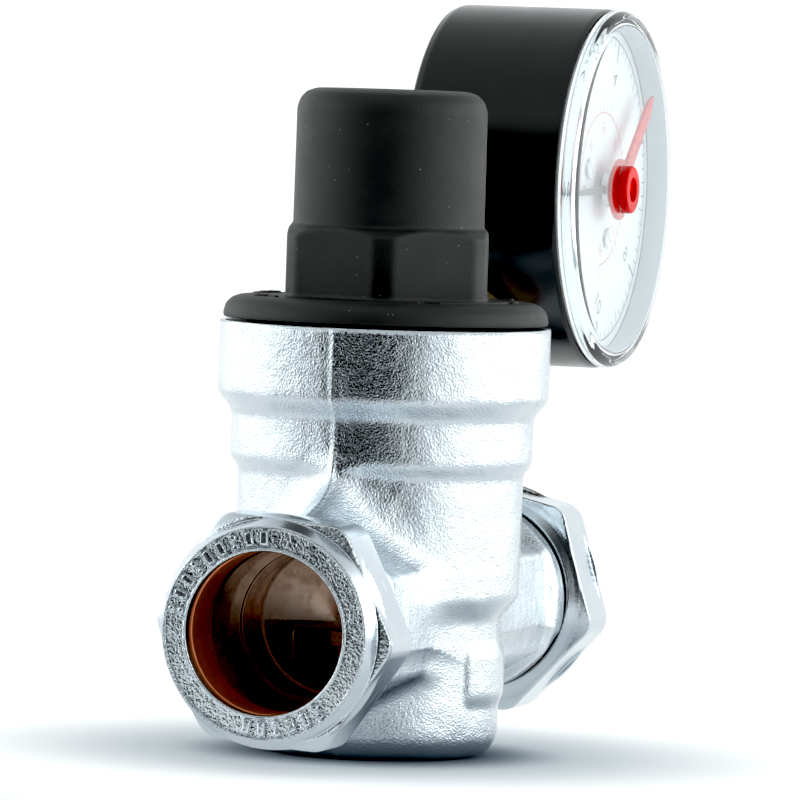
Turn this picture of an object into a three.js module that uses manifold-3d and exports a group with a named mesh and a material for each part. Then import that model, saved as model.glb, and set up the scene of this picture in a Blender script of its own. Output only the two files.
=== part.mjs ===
// Pressure reducing valve for 22 mm tube, with a pressure gauge.
// Millimetres, +Z up. The origin is the centre of the flat underside of the body.
// The pipe runs along X with the inlet at -X, the spring axis is Z, and the gauge faces -Y.
import * as THREE from "three";
import { mergeVertices } from "three/addons/utils/BufferGeometryUtils.js";
import { ConvexGeometry } from "three/addons/geometries/ConvexGeometry.js";
import Module from "manifold-3d";

const wasm = await Module();
wasm.setup();

// ---- Driving dimensions --------------------------------------------------------------------
const GAP = 0.3; // left between pieces that touch or nest
const OVERSHOOT = 4; // how far a cutter runs past the face that it cuts
const SMOOTH = 32; // sides on the large round shapes
const MEDIUM = 16; // sides on the middling ones
const SMALL = 8; // sides on small pins and holes

const TUBE_R = 11; // 22 mm tube
const SOCKET_R = TUBE_R + 0.15;
const PIPE_Z = 19.64; // height of the pipe axis

// Body, radii and heights of its turned outline
const FOOT_R = 14.5;
const FOOT_ROUND_Z = 4;
const WAIST_R = 17.6;
const WAIST_TOP_Z = 19.5;
const DRUM_R = 20.1;
const DRUM_Z = 22.7;
const DRUM_TOP_Z = 39.6;
const NECK_R = 21.3;
const NECK_Z = 41.3;
const NECK_TOP_Z = 47.7;
const COLLAR_R = 23.33;
const COLLAR_Z = 50.3;
const COLLAR_TOP_Z = 60.5;

// Body, chambers on the spring axis
const CHAMBER_R = 11.5;
const CHAMBER_FLOOR_Z = 6;
const SEAT_WALL_Z = 19;
const SEAT_WALL_TOP_Z = 22;
const SEAT_HOLE_R = 10;
const SENSING_R = 15.5;
const SENSING_Z = 36;
const LEDGE_Z = 48.5; // the diaphragm rests here
const COLLAR_BORE_R = 19.5;

// Body, the two arms
const ARM_HEX_R = 14; // corner radius of the spanner hexagon
const ARM_SHOULDER_R = 13.7;
const SHOULDER_LENGTH = 4;
const WEB_ROOT_Z = 41; // where the web over each arm leaves the body
const WEB_END_Z = 33;
const PASSAGE_LOW_Z = 8.5; // inlet port to the chamber under the seat
const PASSAGE_HIGH_Z = 28.5; // chamber over the seat to the outlet port
const THREAD_R = 13.2; // G 3/4 male
const PORT_BORE_R = 10;
const PORT_INNER_R = 9.2;
const PORT_END_X = 13.5; // blind end of each port bore
const WINDOW_HALF_Y = 7.5; // passage between a port and its chamber
const PAD_HALF_X = 8.1;
const PAD_Z = 8.2;
const PAD_TOP_Z = 17;
const PAD_PROUD = 0.8;

// Compression nuts, depths are counted from the outer face
const NUT_FLAT_R = 15.5; // half the width across the flats
const NUT_CORNER_R = 17.5;
const NUT_FACE_R = 14.52;
const NUT_SHOULDER_R = 15.4;
const NUT_SHOULDER_D = 2.5;
const NUT_HEX_D = 12.5;
const NUT_D = 13.3;
const NUT_RING_R = 15.4;
const NUT_MOUTH_R = 13.65;
const NUT_LIP_D = 1.7;
const NUT_CONE_D = 4;
const MOUTH_D = 9.9; // end of the male thread
const SEAT_CONE_D = 11.5;
const SEAT_CONE_R = 12.75;
const TUBE_STOP_D = 21.5;
const PORT_STEP_D = 30.1;
const INLET_FACE_X = 50.1;
const OUTLET_FACE_X = 61.4;
const INLET_NUT_TURN = THREE.MathUtils.degToRad(4.5);
const OUTLET_NUT_TURN = THREE.MathUtils.degToRad(13.5);

// Spring housing
const FLANGE_R = 22.9;
const FLANGE_Z = COLLAR_TOP_Z + GAP;
const FLANGE_TOP_Z = 64;
const SKIRT_R = 19.2;
const SKIRT_Z = 52;
const SKIRT_BORE_R = 16.2;
const HOUSING_HEX_R = 15.4; // corners, turned down
const HOUSING_FLAT_R = 14;
const HOUSING_HEX_TOP_Z = 74;
const HOUSING_HEX_TURN = THREE.MathUtils.degToRad(-14.5);
const CAP_R = 13.44;
const CAP_TOP_Z = 93.4;
const CAP_ROUND = 3;
const CAP_BORE_R = 11.4;
const CAP_ROOF_Z = 89.4;
const SCREW_HOLE_R = 5;

// Spring, screw and plates
const SPRING_R = 9;
const WIRE_R = 1.3;
const SPRING_TURNS = 6;
const SCREW_R = 4;
const UPPER_PLATE_Z = 82;
const UPPER_PLATE_T = 3;
const LOWER_PLATE_Z = 50.2;

// Stem and diaphragm
const STEM_R = 2.4;
const STEM_Z = 9.5;
const STEM_TOP_Z = 57;
const DIAPHRAGM_CENTRE_Z = 47;
const DIAPHRAGM_T = 1.4;
const DISC_Z = 15;
const SEAT_LIP_Z = 18.2; // the disc closes on this edge

// Gauge, in its own frame: centre of the dial axis, stem pointing down
const GAUGE_X = 60;
const GAUGE_Z = 79.4;
const GAUGE_TURN = Math.PI / 4;
const CASE_R = 26.34;
const CASE_BORE_R = 24.9;
const CASE_BACK_Y = 9.4;
const CASE_FRONT_Y = -14.3;
const CASE_BACK_T = 1.6;
const DIAL_R = 24.3;
const DIAL_Y = -12.5;
const DIAL_T = 0.6;
const WINDOW_FRONT_Y = -17.2;
const WINDOW_BACK_Y = -15.9;
const BOSS_R = 8.5;
const BOSS_MOUTH = 34.9; // distance from the gauge centre to the mouth of the boss
const PORT_THREAD_R = 6.4; // G 1/4 male
const PORT_DEPTH = 11;
const WASHER_T = 1.2;
const DRILLING_R = 2; // leads the outlet pressure to the gauge
const DRILLING_DEPTH = 30;
const BOSS_LENGTH = 27;
const TUBE_FRONT_Y = -4.6;
const TUBE_BACK_Y = 3.6;
const TUBE_HALF_T = 1.2; // half the radial thickness of the flattened tube
const MOVEMENT_FRONT_Y = -9.4;
const MOVEMENT_BACK_Y = -2.5;
const MOVEMENT_PLATE_T = 0.8;
const POST_R = 1.1;
const SECTOR_Y = -6.2;
const SECTOR_T = 1;
const SECTOR_TEETH = 15;
const TAIL_LENGTH = 5.4;
const SECTOR_LEAN = THREE.MathUtils.degToRad(17); // turn of the sector at zero pressure
const HAND_Y = -13.9;
const HAND_T = 0.5;
const HAND_HUB_R = 2.7;
const SHAFT_R = 0.7;
const DIAL_SCREW_X = 7.4;
const DIAL_SCREW_Z = -3;
const KNOB_R = 3.5;
const KNOB_NECK_R = 2.7;
const KNOB_FLANGE_R = 4.5;
const KNOB_HEAD = 1;
const TUBE_ARC_R = 18.5;
const PIVOT_Z = -11.2; // sector pivot below the dial axis
const SECTOR_R = 9.7;
const PINION_R = 1.2;
const ZERO_ANGLE = THREE.MathUtils.degToRad(225);
const SET_ANGLE = THREE.MathUtils.degToRad(49) - GAUGE_TURN;

// ---- Materials -----------------------------------------------------------------------------
function material(color, roughness, metalness) {
  return new THREE.MeshStandardMaterial({ color, roughness, metalness });
}

const CHROME = material(0xd5dade, 0.28, 1);
const BLACK_NYLON = material(0x151617, 0.6, 0);
const BLACK_CASE = material(0x0c0d0e, 0.35, 0);
const COPPER = material(0xb4622e, 0.35, 1);
const BRASS = material(0xb08d4a, 0.35, 1);
const STEEL = material(0xa7a9ab, 0.35, 1);
const RUBBER = material(0x1b1b1c, 0.8, 0);
const DIAL_WHITE = material(0xf0f1ee, 0.6, 0);
const CLEAR = material(0xe8f0f2, 0.05, 0);
const RED = material(0xd81414, 0.4, 0);
const FIBRE = material(0x7a3a24, 0.9, 0);

// ---- Shape helpers -------------------------------------------------------------------------
// Joins the vertices of a closed geometry and hands it to manifold-3d, faces pointing out.
function solid(geometry) {
  const bare = geometry.clone();
  bare.deleteAttribute("normal");
  bare.deleteAttribute("uv");
  const merged = mergeVertices(bare, 1e-4);
  const points = merged.attributes.position;
  const index = merged.index.array;
  const corners = [new THREE.Vector3(), new THREE.Vector3(), new THREE.Vector3()];
  const kept = [];
  let volume = 0;
  for (let i = 0; i < index.length; i += 3) {
    const [a, b, c] = [index[i], index[i + 1], index[i + 2]];
    if (a === b || b === c || c === a) continue;
    kept.push(a, b, c);
    [a, b, c].forEach((vertex, k) => corners[k].fromBufferAttribute(points, vertex));
    volume += corners[0].dot(corners[1].cross(corners[2]));
  }
  if (volume < 0) kept.reverse();
  return new wasm.Manifold(
    new wasm.Mesh({ numProp: 3, vertProperties: points.array, triVerts: new Uint32Array(kept) }),
  );
}

function joined(first, ...others) {
  return others.reduce((whole, next) => whole.add(next), first);
}

function cut(first, ...others) {
  return others.reduce((whole, next) => whole.subtract(next), first);
}

function piece(name, shape, look) {
  const { vertProperties, triVerts } = shape.getMesh();
  const geometry = new THREE.BufferGeometry();
  geometry.setAttribute("position", new THREE.BufferAttribute(vertProperties, 3));
  geometry.setIndex(new THREE.BufferAttribute(triVerts, 1));
  geometry.computeVertexNormals();
  const mesh = new THREE.Mesh(geometry, look);
  mesh.name = name;
  return mesh;
}

// Turned shapes: outline is a list of [radius, height] that closes on itself or on the axis.
function turnedZ(outline, sides = SMOOTH) {
  const points = outline.map(([r, h]) => new THREE.Vector2(r, h));
  return solid(new THREE.LatheGeometry(points, sides).rotateX(Math.PI / 2));
}

// The same about X, with heights counted along direction (+1 or -1).
function turnedX(outline, direction, sides = SMOOTH) {
  const points = outline.map(([r, h]) => new THREE.Vector2(r, h));
  const geometry = new THREE.LatheGeometry(points, sides);
  return solid(geometry.rotateZ((-direction * Math.PI) / 2).translate(0, 0, PIPE_Z));
}

// The same about Y.
function turnedY(outline, sides = SMOOTH) {
  const points = outline.map(([r, h]) => new THREE.Vector2(r, h));
  return solid(new THREE.LatheGeometry(points, sides));
}

// Outline of a ring between two radii and two heights, or of a disc when inner is 0.
function ringOutline(inner, outer, low, high) {
  const outline = [[inner, low], [outer, low], [outer, high], [inner, high]];
  return inner > 0 ? [...outline, [inner, low]] : outline;
}

function box(lowX, highX, lowY, highY, lowZ, highZ) {
  const geometry = new THREE.BoxGeometry(highX - lowX, highY - lowY, highZ - lowZ);
  geometry.translate((lowX + highX) / 2, (lowY + highY) / 2, (lowZ + highZ) / 2);
  return solid(geometry);
}

// A prism along Z with six flats, a flat facing +X after the given turn.
function hexZ(flatRadius, low, high, turn = 0) {
  const radius = flatRadius / Math.cos(Math.PI / 6);
  const geometry = new THREE.CylinderGeometry(radius, radius, high - low, 6);
  geometry.rotateX(Math.PI / 2).rotateZ(turn).translate(0, 0, (low + high) / 2);
  return solid(geometry);
}

// A flat plate in the XZ plane between two values of y.
function plateY(shape, low, high, curveSegments = SMALL) {
  const options = { depth: high - low, bevelEnabled: false, curveSegments };
  const geometry = new THREE.ExtrudeGeometry(shape, options);
  return solid(geometry.rotateX(Math.PI / 2).translate(0, high, 0));
}

// Arc points of an outline, from one angle to another.
function arc(centreR, centreH, radius, from, to, steps) {
  return Array.from({ length: steps + 1 }, (_, i) => {
    const angle = THREE.MathUtils.degToRad(from + ((to - from) * i) / steps);
    return [centreR + radius * Math.cos(angle), centreH + radius * Math.sin(angle)];
  });
}

// ---- Valve body ----------------------------------------------------------------------------
function bodyForging() {
  return turnedZ([
    [0, 0],
    [FOOT_R, 0],
    ...arc(FOOT_R - 0.9, FOOT_ROUND_Z, FOOT_ROUND_Z, -70, 0, 4),
    [WAIST_R, WAIST_TOP_Z],
    [DRUM_R, DRUM_Z],
    [DRUM_R, DRUM_TOP_Z],
    [NECK_R, NECK_Z],
    [NECK_R, NECK_TOP_Z],
    [COLLAR_R, COLLAR_Z],
    [COLLAR_R, COLLAR_TOP_Z],
    [0, COLLAR_TOP_Z],
  ]);
}

// One arm: spanner hexagon, round shoulder and male thread.
function arm(direction, faceX) {
  const mouth = faceX - MOUTH_D;
  const shoulder = faceX - NUT_D - GAP;
  const hexEnd = shoulder - SHOULDER_LENGTH;
  const hexagon = new THREE.CylinderGeometry(ARM_HEX_R, ARM_HEX_R, hexEnd, 6);
  hexagon.rotateZ(Math.PI / 2).translate((direction * hexEnd) / 2, 0, PIPE_Z);
  const round = turnedX(
    [
      [0, hexEnd - 1],
      [ARM_SHOULDER_R, hexEnd - 1],
      [ARM_SHOULDER_R, shoulder],
      [THREAD_R, shoulder],
      [THREAD_R, mouth],
      [0, mouth],
    ],
    direction,
  );
  return joined(solid(hexagon), round);
}

// The cast web that runs from the drum down to the top of an arm.
function armWeb(direction, faceX) {
  const near = 18;
  const far = faceX - NUT_D - 5.5;
  const points = [];
  for (const side of [-1, 1]) {
    points.push(new THREE.Vector3(direction * near, side * 2.2, WEB_ROOT_Z));
    points.push(new THREE.Vector3(direction * far, side * 3.6, WEB_END_Z));
    points.push(new THREE.Vector3(direction * near, side * 10, 25));
    points.push(new THREE.Vector3(direction * far, side * 9, 26));
    points.push(new THREE.Vector3(direction * near, side * 6, 10));
    points.push(new THREE.Vector3(direction * (near + 6), side * 8, 16));
  }
  return solid(new ConvexGeometry(points));
}

// Everything on the stem line of the gauge is turned about Y into place.
function onGaugeLine(geometry) {
  return solid(geometry.rotateX(Math.PI / 2).rotateY(GAUGE_TURN).translate(GAUGE_X, 0, GAUGE_Z));
}

function gaugeLineCylinder(radius, from, to, sides = MEDIUM) {
  const geometry = new THREE.CylinderGeometry(radius, radius, to - from, sides);
  return onGaugeLine(geometry.translate(0, -(from + to) / 2, 0));
}

// Socket, bore and blind end of one port.
function portCutter(direction, faceX) {
  return turnedX(
    [
      [0, PORT_END_X],
      [PORT_INNER_R, PORT_END_X],
      [PORT_INNER_R, faceX - PORT_STEP_D],
      [PORT_BORE_R, faceX - PORT_STEP_D],
      [PORT_BORE_R, faceX - TUBE_STOP_D],
      [SOCKET_R, faceX - TUBE_STOP_D],
      [SOCKET_R, faceX - SEAT_CONE_D],
      [SEAT_CONE_R, faceX - MOUTH_D],
      [SEAT_CONE_R, faceX],
      [0, faceX],
    ],
    direction,
  );
}

function chamberCutter() {
  return turnedZ([
    [0, CHAMBER_FLOOR_Z],
    [CHAMBER_R, CHAMBER_FLOOR_Z],
    [CHAMBER_R, SEAT_WALL_Z],
    [SEAT_HOLE_R, SEAT_WALL_Z],
    [SEAT_HOLE_R, SEAT_WALL_TOP_Z],
    [CHAMBER_R, SEAT_WALL_TOP_Z],
    [CHAMBER_R, SENSING_Z],
    [SENSING_R, SENSING_Z],
    [SENSING_R, LEDGE_Z],
    [COLLAR_BORE_R, LEDGE_Z],
    [COLLAR_BORE_R, COLLAR_TOP_Z + OVERSHOOT],
    [0, COLLAR_TOP_Z + OVERSHOOT],
  ]);
}

function valveBody() {
  const padR = WAIST_R + PAD_PROUD;
  const pads = box(-PAD_HALF_X, PAD_HALF_X, -padR, padR, PAD_Z, PAD_TOP_Z);
  const padLimit = turnedZ(ringOutline(0, padR, PAD_Z - OVERSHOOT, PAD_TOP_Z + OVERSHOOT));
  const forging = joined(
    bodyForging(),
    arm(-1, INLET_FACE_X),
    arm(1, OUTLET_FACE_X),
    armWeb(-1, INLET_FACE_X),
    armWeb(1, OUTLET_FACE_X),
    pads.intersect(padLimit),
    gaugeLineCylinder(BOSS_R, BOSS_MOUTH, BOSS_MOUTH + BOSS_LENGTH),
  );
  const reach = PORT_END_X + 1;
  const shape = cut(
    forging,
    chamberCutter(),
    portCutter(-1, INLET_FACE_X),
    portCutter(1, OUTLET_FACE_X),
    box(-reach, 0, -WINDOW_HALF_Y, WINDOW_HALF_Y, PASSAGE_LOW_Z, SEAT_WALL_Z - 1),
    box(0, reach, -WINDOW_HALF_Y, WINDOW_HALF_Y, SEAT_WALL_TOP_Z + 1, PASSAGE_HIGH_Z),
    gaugeLineCylinder(PORT_THREAD_R + 0.35, BOSS_MOUTH - OVERSHOOT, BOSS_MOUTH + PORT_DEPTH),
    gaugeLineCylinder(DRILLING_R, BOSS_MOUTH, BOSS_MOUTH + DRILLING_DEPTH, SMALL),
  );
  return piece("valve_body", shape, CHROME);
}

// ---- Compression nuts and olives -----------------------------------------------------------
function compressionNut(name, direction, faceX, turn) {
  const outline = [
    [SOCKET_R, 0],
    [NUT_FACE_R, 0],
    [NUT_SHOULDER_R, NUT_SHOULDER_D],
    [NUT_CORNER_R, NUT_SHOULDER_D + 0.3],
    [NUT_CORNER_R, NUT_HEX_D - 0.8],
    [NUT_RING_R, NUT_HEX_D],
    [NUT_RING_R, NUT_D],
    [NUT_MOUTH_R, NUT_D],
    [NUT_MOUTH_R, NUT_CONE_D],
    [SOCKET_R, NUT_LIP_D],
    [SOCKET_R, 0],
  ].map(([r, depth]) => [r, faceX - depth]);
  const radius = NUT_FLAT_R / Math.cos(Math.PI / 6);
  const length = NUT_D + 2 * OVERSHOOT;
  const flats = new THREE.CylinderGeometry(radius, radius, length, 6);
  const middle = direction * (faceX - NUT_D / 2);
  flats.rotateY(Math.PI / 2).rotateZ(Math.PI / 2).rotateX(turn).translate(middle, 0, PIPE_Z);
  const shape = turnedX(outline, direction).intersect(solid(flats));
  return piece(name, shape, CHROME);
}

function olive(name, direction, faceX) {
  const inner = SOCKET_R;
  const outer = 12.7;
  const near = faceX - MOUTH_D + GAP;
  const far = faceX - NUT_CONE_D + 1.2;
  const outline = [[inner, near], [inner + 0.7, near], [outer, near + 2], [outer, far - 2]];
  outline.push([inner + 0.7, far], [inner, far], [inner, near]);
  return piece(name, turnedX(outline, direction), COPPER);
}

// ---- Seat, disc, stem and diaphragm --------------------------------------------------------
function strainer() {
  const low = CHAMBER_FLOOR_Z + GAP;
  const high = 17.4;
  const wall = turnedZ(ringOutline(9, 9.6, low, high), MEDIUM);
  const slots = [];
  for (let i = 0; i < 6; i += 1) {
    const slot = new THREE.BoxGeometry(24, 3.6, 7).rotateZ(((i + 0.5) * Math.PI) / 6);
    slots.push(solid(slot.translate(0, 0, (low + high) / 2)));
  }
  return piece("strainer", cut(wall, ...slots), STEEL);
}

function seatRing() {
  const [bore, lip, root, wall] = [6, 7, 8, SEAT_HOLE_R - GAP];
  const top = SEAT_WALL_TOP_Z + GAP;
  const outline = [
    [bore, SEAT_LIP_Z],
    [lip, SEAT_LIP_Z],
    [root, SEAT_WALL_Z],
    [wall, SEAT_WALL_Z],
    [wall, SEAT_WALL_Z + 0.6],
    [root, SEAT_WALL_Z + 0.6],
    [root, SEAT_WALL_TOP_Z - 0.6],
    [wall, SEAT_WALL_TOP_Z - 0.6],
    [wall, top],
    [CHAMBER_R - 0.5, top],
    [CHAMBER_R - 0.5, top + 1.6],
    [bore + 0.6, top + 1.6],
    [bore, top + 1],
    [bore, SEAT_LIP_Z],
  ];
  return piece("seat_ring", turnedZ(outline, MEDIUM + 6), BRASS);
}

function oRing(name, radius, section, height) {
  const geometry = new THREE.TorusGeometry(radius, section, 6, MEDIUM).translate(0, 0, height);
  return piece(name, solid(geometry), RUBBER);
}

function discHolder() {
  const low = DISC_Z - 3.2;
  const outline = [[STEM_R + GAP, low], [6, low], [8, low + 1.6], [8, DISC_Z + 1.2], [7.5, DISC_Z + 1.2]];
  outline.push([7.5, DISC_Z - GAP], [STEM_R + GAP, DISC_Z - GAP], [STEM_R + GAP, low]);
  return piece("disc_holder", turnedZ(outline, MEDIUM), BRASS);
}

function valveDisc() {
  return piece("valve_disc", turnedZ(ringOutline(STEM_R + GAP, 7.2, DISC_Z, DISC_Z + 1.6), MEDIUM), RUBBER);
}

function hexNut(name, flatRadius, hole, low, high, look) {
  const shape = cut(hexZ(flatRadius, low, high), turnedZ(ringOutline(0, hole, low - 1, high + 1), SMALL));
  return piece(name, shape, look);
}

function valveStem() {
  const foot = STEM_Z - 1;
  const outline = [
    [0, foot],
    [STEM_R - 0.4, foot],
    [STEM_R, STEM_Z],
    [STEM_R, STEM_TOP_Z - 1],
    [STEM_R - 0.8, STEM_TOP_Z],
    [0, STEM_TOP_Z],
  ];
  return piece("valve_stem", turnedZ(outline, SMALL), STEEL);
}

// A spider that keeps the stem upright at the top of the outlet chamber.
function stemGuide() {
  const low = SENSING_Z + GAP;
  const high = low + 2.4;
  const hub = turnedZ(ringOutline(STEM_R + GAP, 4.6, low, high + 1.6), MEDIUM);
  const rim = turnedZ(ringOutline(12.4, SENSING_R - GAP, low, high), MEDIUM);
  const arms = [];
  for (let i = 0; i < 3; i += 1) {
    const spoke = new THREE.BoxGeometry(9.6, 2.6, high - low).translate(8.4, 0, (low + high) / 2);
    arms.push(solid(spoke.rotateZ((i * 2 * Math.PI) / 3)));
  }
  return piece("stem_guide", joined(hub, rim, ...arms), BRASS);
}

// A dished rubber disc: rim on the body's ledge, centre on the stem, one roll between them.
function diaphragm() {
  const hole = STEM_R + GAP;
  const rimR = COLLAR_BORE_R - GAP;
  const rimZ = LEDGE_Z + GAP;
  const centre = DIAPHRAGM_CENTRE_Z;
  const top = centre + DIAPHRAGM_T;
  const roll = centre - 1.6;
  const under = [[hole, centre], [11.2, centre], [12.6, roll], [13.8, roll], [14.9, centre], [15.2, rimZ]];
  const rim = [[rimR, rimZ], [rimR, rimZ + DIAPHRAGM_T], [14.4, rimZ + DIAPHRAGM_T]];
  const over = [[13.6, centre], [12.9, centre], [11.6, top], [hole, top], [hole, centre]];
  const outline = [...under, ...rim, ...over];
  return piece("diaphragm", turnedZ(outline, MEDIUM + 6), RUBBER);
}

function diaphragmWasher() {
  const top = DIAPHRAGM_CENTRE_Z - GAP;
  return piece("diaphragm_washer", turnedZ(ringOutline(STEM_R + GAP, 10, top - 1.4, top), MEDIUM), BRASS);
}

function slipRing() {
  const low = LEDGE_Z + DIAPHRAGM_T + 2 * GAP;
  const outline = ringOutline(SKIRT_BORE_R, COLLAR_BORE_R - GAP, low, low + 0.9);
  return piece("slip_ring", turnedZ(outline, MEDIUM + 6), BRASS);
}

// A dish that holds the foot of the spring, with a low hub that centres it.
function lowerSpringPlate() {
  const hole = STEM_R + GAP;
  const low = DIAPHRAGM_CENTRE_Z + DIAPHRAGM_T + GAP;
  const [hub, seat, rim] = [SPRING_R - WIRE_R - 0.9, SPRING_R + WIRE_R + 0.5, SPRING_R + WIRE_R + 1.1];
  const outline = [
    [hole, low],
    [rim, low],
    [rim, LOWER_PLATE_Z + 1.4],
    [seat, LOWER_PLATE_Z + 1.4],
    [seat, LOWER_PLATE_Z],
    [hub, LOWER_PLATE_Z],
    [hub, LOWER_PLATE_Z + 1.6],
    [hole, LOWER_PLATE_Z + 1.6],
    [hole, low],
  ];
  return piece("lower_spring_plate", turnedZ(outline, MEDIUM), STEEL);
}

// ---- Spring housing, spring and adjusting screw --------------------------------------------
function springHousing() {
  const foot = FLANGE_TOP_Z - 3;
  const outer = turnedZ([
    [0, SKIRT_Z],
    [SKIRT_R, SKIRT_Z],
    [SKIRT_R, FLANGE_Z],
    [FLANGE_R, FLANGE_Z],
    ...arc(FLANGE_R - 3, foot, 3, 0, 78, 4),
    [0, FLANGE_TOP_Z],
  ]);
  const collarTurn = turnedZ([
    [0, FLANGE_TOP_Z - 2],
    [HOUSING_HEX_R, FLANGE_TOP_Z - 2],
    [HOUSING_HEX_R, HOUSING_HEX_TOP_Z - 1.1],
    [HOUSING_FLAT_R - 0.4, HOUSING_HEX_TOP_Z],
    [0, HOUSING_HEX_TOP_Z],
  ]);
  const flats = hexZ(HOUSING_FLAT_R, FLANGE_TOP_Z - 3, HOUSING_HEX_TOP_Z + 1, HOUSING_HEX_TURN);
  const cap = turnedZ([
    [0, HOUSING_HEX_TOP_Z - 2],
    [CAP_R, HOUSING_HEX_TOP_Z - 2],
    ...arc(CAP_R - CAP_ROUND, CAP_TOP_Z - CAP_ROUND, CAP_ROUND, 0, 85, 5),
    [0, CAP_TOP_Z],
  ]);
  const inside = turnedZ([
    [0, SKIRT_Z - 1],
    [SKIRT_BORE_R, SKIRT_Z - 1],
    [SKIRT_BORE_R, 58.5],
    [CAP_BORE_R + 0.4, 62.5],
    [CAP_BORE_R, CAP_ROOF_Z],
    [SCREW_HOLE_R, CAP_ROOF_Z],
    [SCREW_HOLE_R, CAP_TOP_Z + 1],
    [0, CAP_TOP_Z + 1],
  ]);
  const shape = cut(joined(outer, collarTurn.intersect(flats), cap), inside);
  return piece("spring_housing", shape, BLACK_NYLON);
}

// Helix with its ends wound flat, as a compression spring's are.
class SpringCurve extends THREE.Curve {
  constructor(low, high) {
    super();
    this.low = low;
    this.high = high;
  }

  getPoint(t, target = new THREE.Vector3()) {
    const closed = 0.75 / SPRING_TURNS;
    const eased = THREE.MathUtils.smoothstep(t, closed, 1 - closed);
    const rise = THREE.MathUtils.lerp(t, eased, 0.35);
    const angle = t * SPRING_TURNS * 2 * Math.PI;
    const z = this.low + (this.high - this.low) * rise;
    return target.set(SPRING_R * Math.cos(angle), SPRING_R * Math.sin(angle), z);
  }
}

function mainSpring() {
  const low = LOWER_PLATE_Z + GAP + WIRE_R;
  const high = UPPER_PLATE_Z - GAP - WIRE_R;
  const section = new THREE.Shape().absarc(0, 0, WIRE_R, 0, 2 * Math.PI);
  const steps = SPRING_TURNS * 12;
  const options = { steps, curveSegments: 3, extrudePath: new SpringCurve(low, high), bevelEnabled: false };
  return piece("main_spring", solid(new THREE.ExtrudeGeometry(section, options)), STEEL);
}

function upperSpringPlate() {
  const [hole, hub, rim] = [SCREW_R + GAP, 6.4, CAP_BORE_R - GAP];
  const [foot, low, high] = [UPPER_PLATE_Z - 3, UPPER_PLATE_Z, UPPER_PLATE_Z + UPPER_PLATE_T];
  const spigot = [[hole, foot], [hub, foot], [hub, low]];
  const flange = [[rim, low], [rim, high], [hole, high], [hole, foot]];
  return piece("upper_spring_plate", turnedZ([...spigot, ...flange], MEDIUM), BRASS);
}

function adjustingScrew() {
  const shoulder = CAP_ROOF_Z - 1.4;
  const shank = turnedZ(
    [
      [0, 64],
      [SCREW_R - 1, 64],
      [SCREW_R, 65],
      [SCREW_R, shoulder - 2],
      [7, shoulder - 2],
      [7, shoulder],
      [SCREW_HOLE_R - GAP, shoulder],
      [SCREW_HOLE_R - GAP, CAP_TOP_Z - 1.6],
      [SCREW_HOLE_R - 0.9, CAP_TOP_Z - 1],
      [0, CAP_TOP_Z - 1],
    ],
    MEDIUM,
  );
  return piece("adjusting_screw", cut(shank, hexZ(2.5, CAP_TOP_Z - 4.6, CAP_TOP_Z + 1)), STEEL);
}

function thrustWasher() {
  const high = CAP_ROOF_Z - GAP;
  const outline = ringOutline(SCREW_HOLE_R + 0.2, 8, high - 0.8, high);
  return piece("thrust_washer", turnedZ(outline, MEDIUM), BRASS);
}

// ---- Gauge ---------------------------------------------------------------------------------
function gaugeCase() {
  const rimRound = arc(CASE_R - 1.5, CASE_BACK_Y - 1.5, 1.5, 0, 90, 4);
  const floor = CASE_BACK_Y - CASE_BACK_T;
  const shell = turnedY([
    [CASE_BORE_R, CASE_FRONT_Y],
    [CASE_R, CASE_FRONT_Y],
    ...rimRound,
    [0, CASE_BACK_Y],
    [0, floor],
    [CASE_BORE_R, floor],
    [CASE_BORE_R, CASE_FRONT_Y],
  ]);
  const entry = new THREE.CylinderGeometry(5.6, 5.6, 10, MEDIUM).rotateX(Math.PI / 2);
  return piece("gauge_case", cut(shell, solid(entry.translate(0, 0, -CASE_R))), BLACK_CASE);
}

// Turned about the stem's own line, which runs down from the gauge centre.
function stemTurned(outline, sides) {
  const points = outline.map(([r, h]) => new THREE.Vector2(r, -h));
  return solid(new THREE.LatheGeometry(points, sides).rotateX(Math.PI / 2));
}

function gaugeStem() {
  const hexFace = BOSS_MOUTH - WASHER_T - 2 * GAP;
  const tip = BOSS_MOUTH + PORT_DEPTH - 1.5;
  const hexagon = hexZ(7, -hexFace, -(CASE_R + 1.4));
  const neck = stemTurned([[0, 20], [5.2, 20], [5.2, hexFace - 1], [0, hexFace - 1]], MEDIUM);
  const threadOutline = [
    [0, hexFace - 1],
    [5.6, hexFace - 1],
    [5.6, BOSS_MOUTH],
    [PORT_THREAD_R, BOSS_MOUTH + 0.8],
    [PORT_THREAD_R, tip - 1],
    [5.4, tip],
    [0, tip],
  ];
  const thread = stemTurned(threadOutline, MEDIUM);
  const block = box(-5, 5, -5, 4, -23.5, -15.6);
  const passage = stemTurned([[0, 30], [1.2, 30], [1.2, tip + 1], [0, tip + 1]], SMALL);
  return piece("gauge_stem", cut(joined(hexagon, neck, thread, block), passage), BRASS);
}

function gaugeWasher() {
  const from = BOSS_MOUTH - GAP - WASHER_T;
  const to = BOSS_MOUTH - GAP;
  return piece("gauge_washer", stemTurned(ringOutline(6, 8, from, to), MEDIUM), FIBRE);
}

function bourdonTube() {
  const start = THREE.MathUtils.degToRad(252);
  const end = THREE.MathUtils.degToRad(8);
  const shape = new THREE.Shape();
  shape.absarc(0, 0, TUBE_ARC_R + TUBE_HALF_T, start, end, true);
  shape.absarc(0, 0, TUBE_ARC_R - TUBE_HALF_T, end, start, false);
  const tube = plateY(shape, TUBE_FRONT_Y, TUBE_BACK_Y, 24);
  return piece("bourdon_tube", tube, BRASS);
}

// A pin along Y, between two values of y.
function pinY(radius, x, z, low, high, sides = SMALL) {
  const geometry = new THREE.CylinderGeometry(radius, radius, high - low, sides);
  return solid(geometry.translate(x, (low + high) / 2, z));
}

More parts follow.
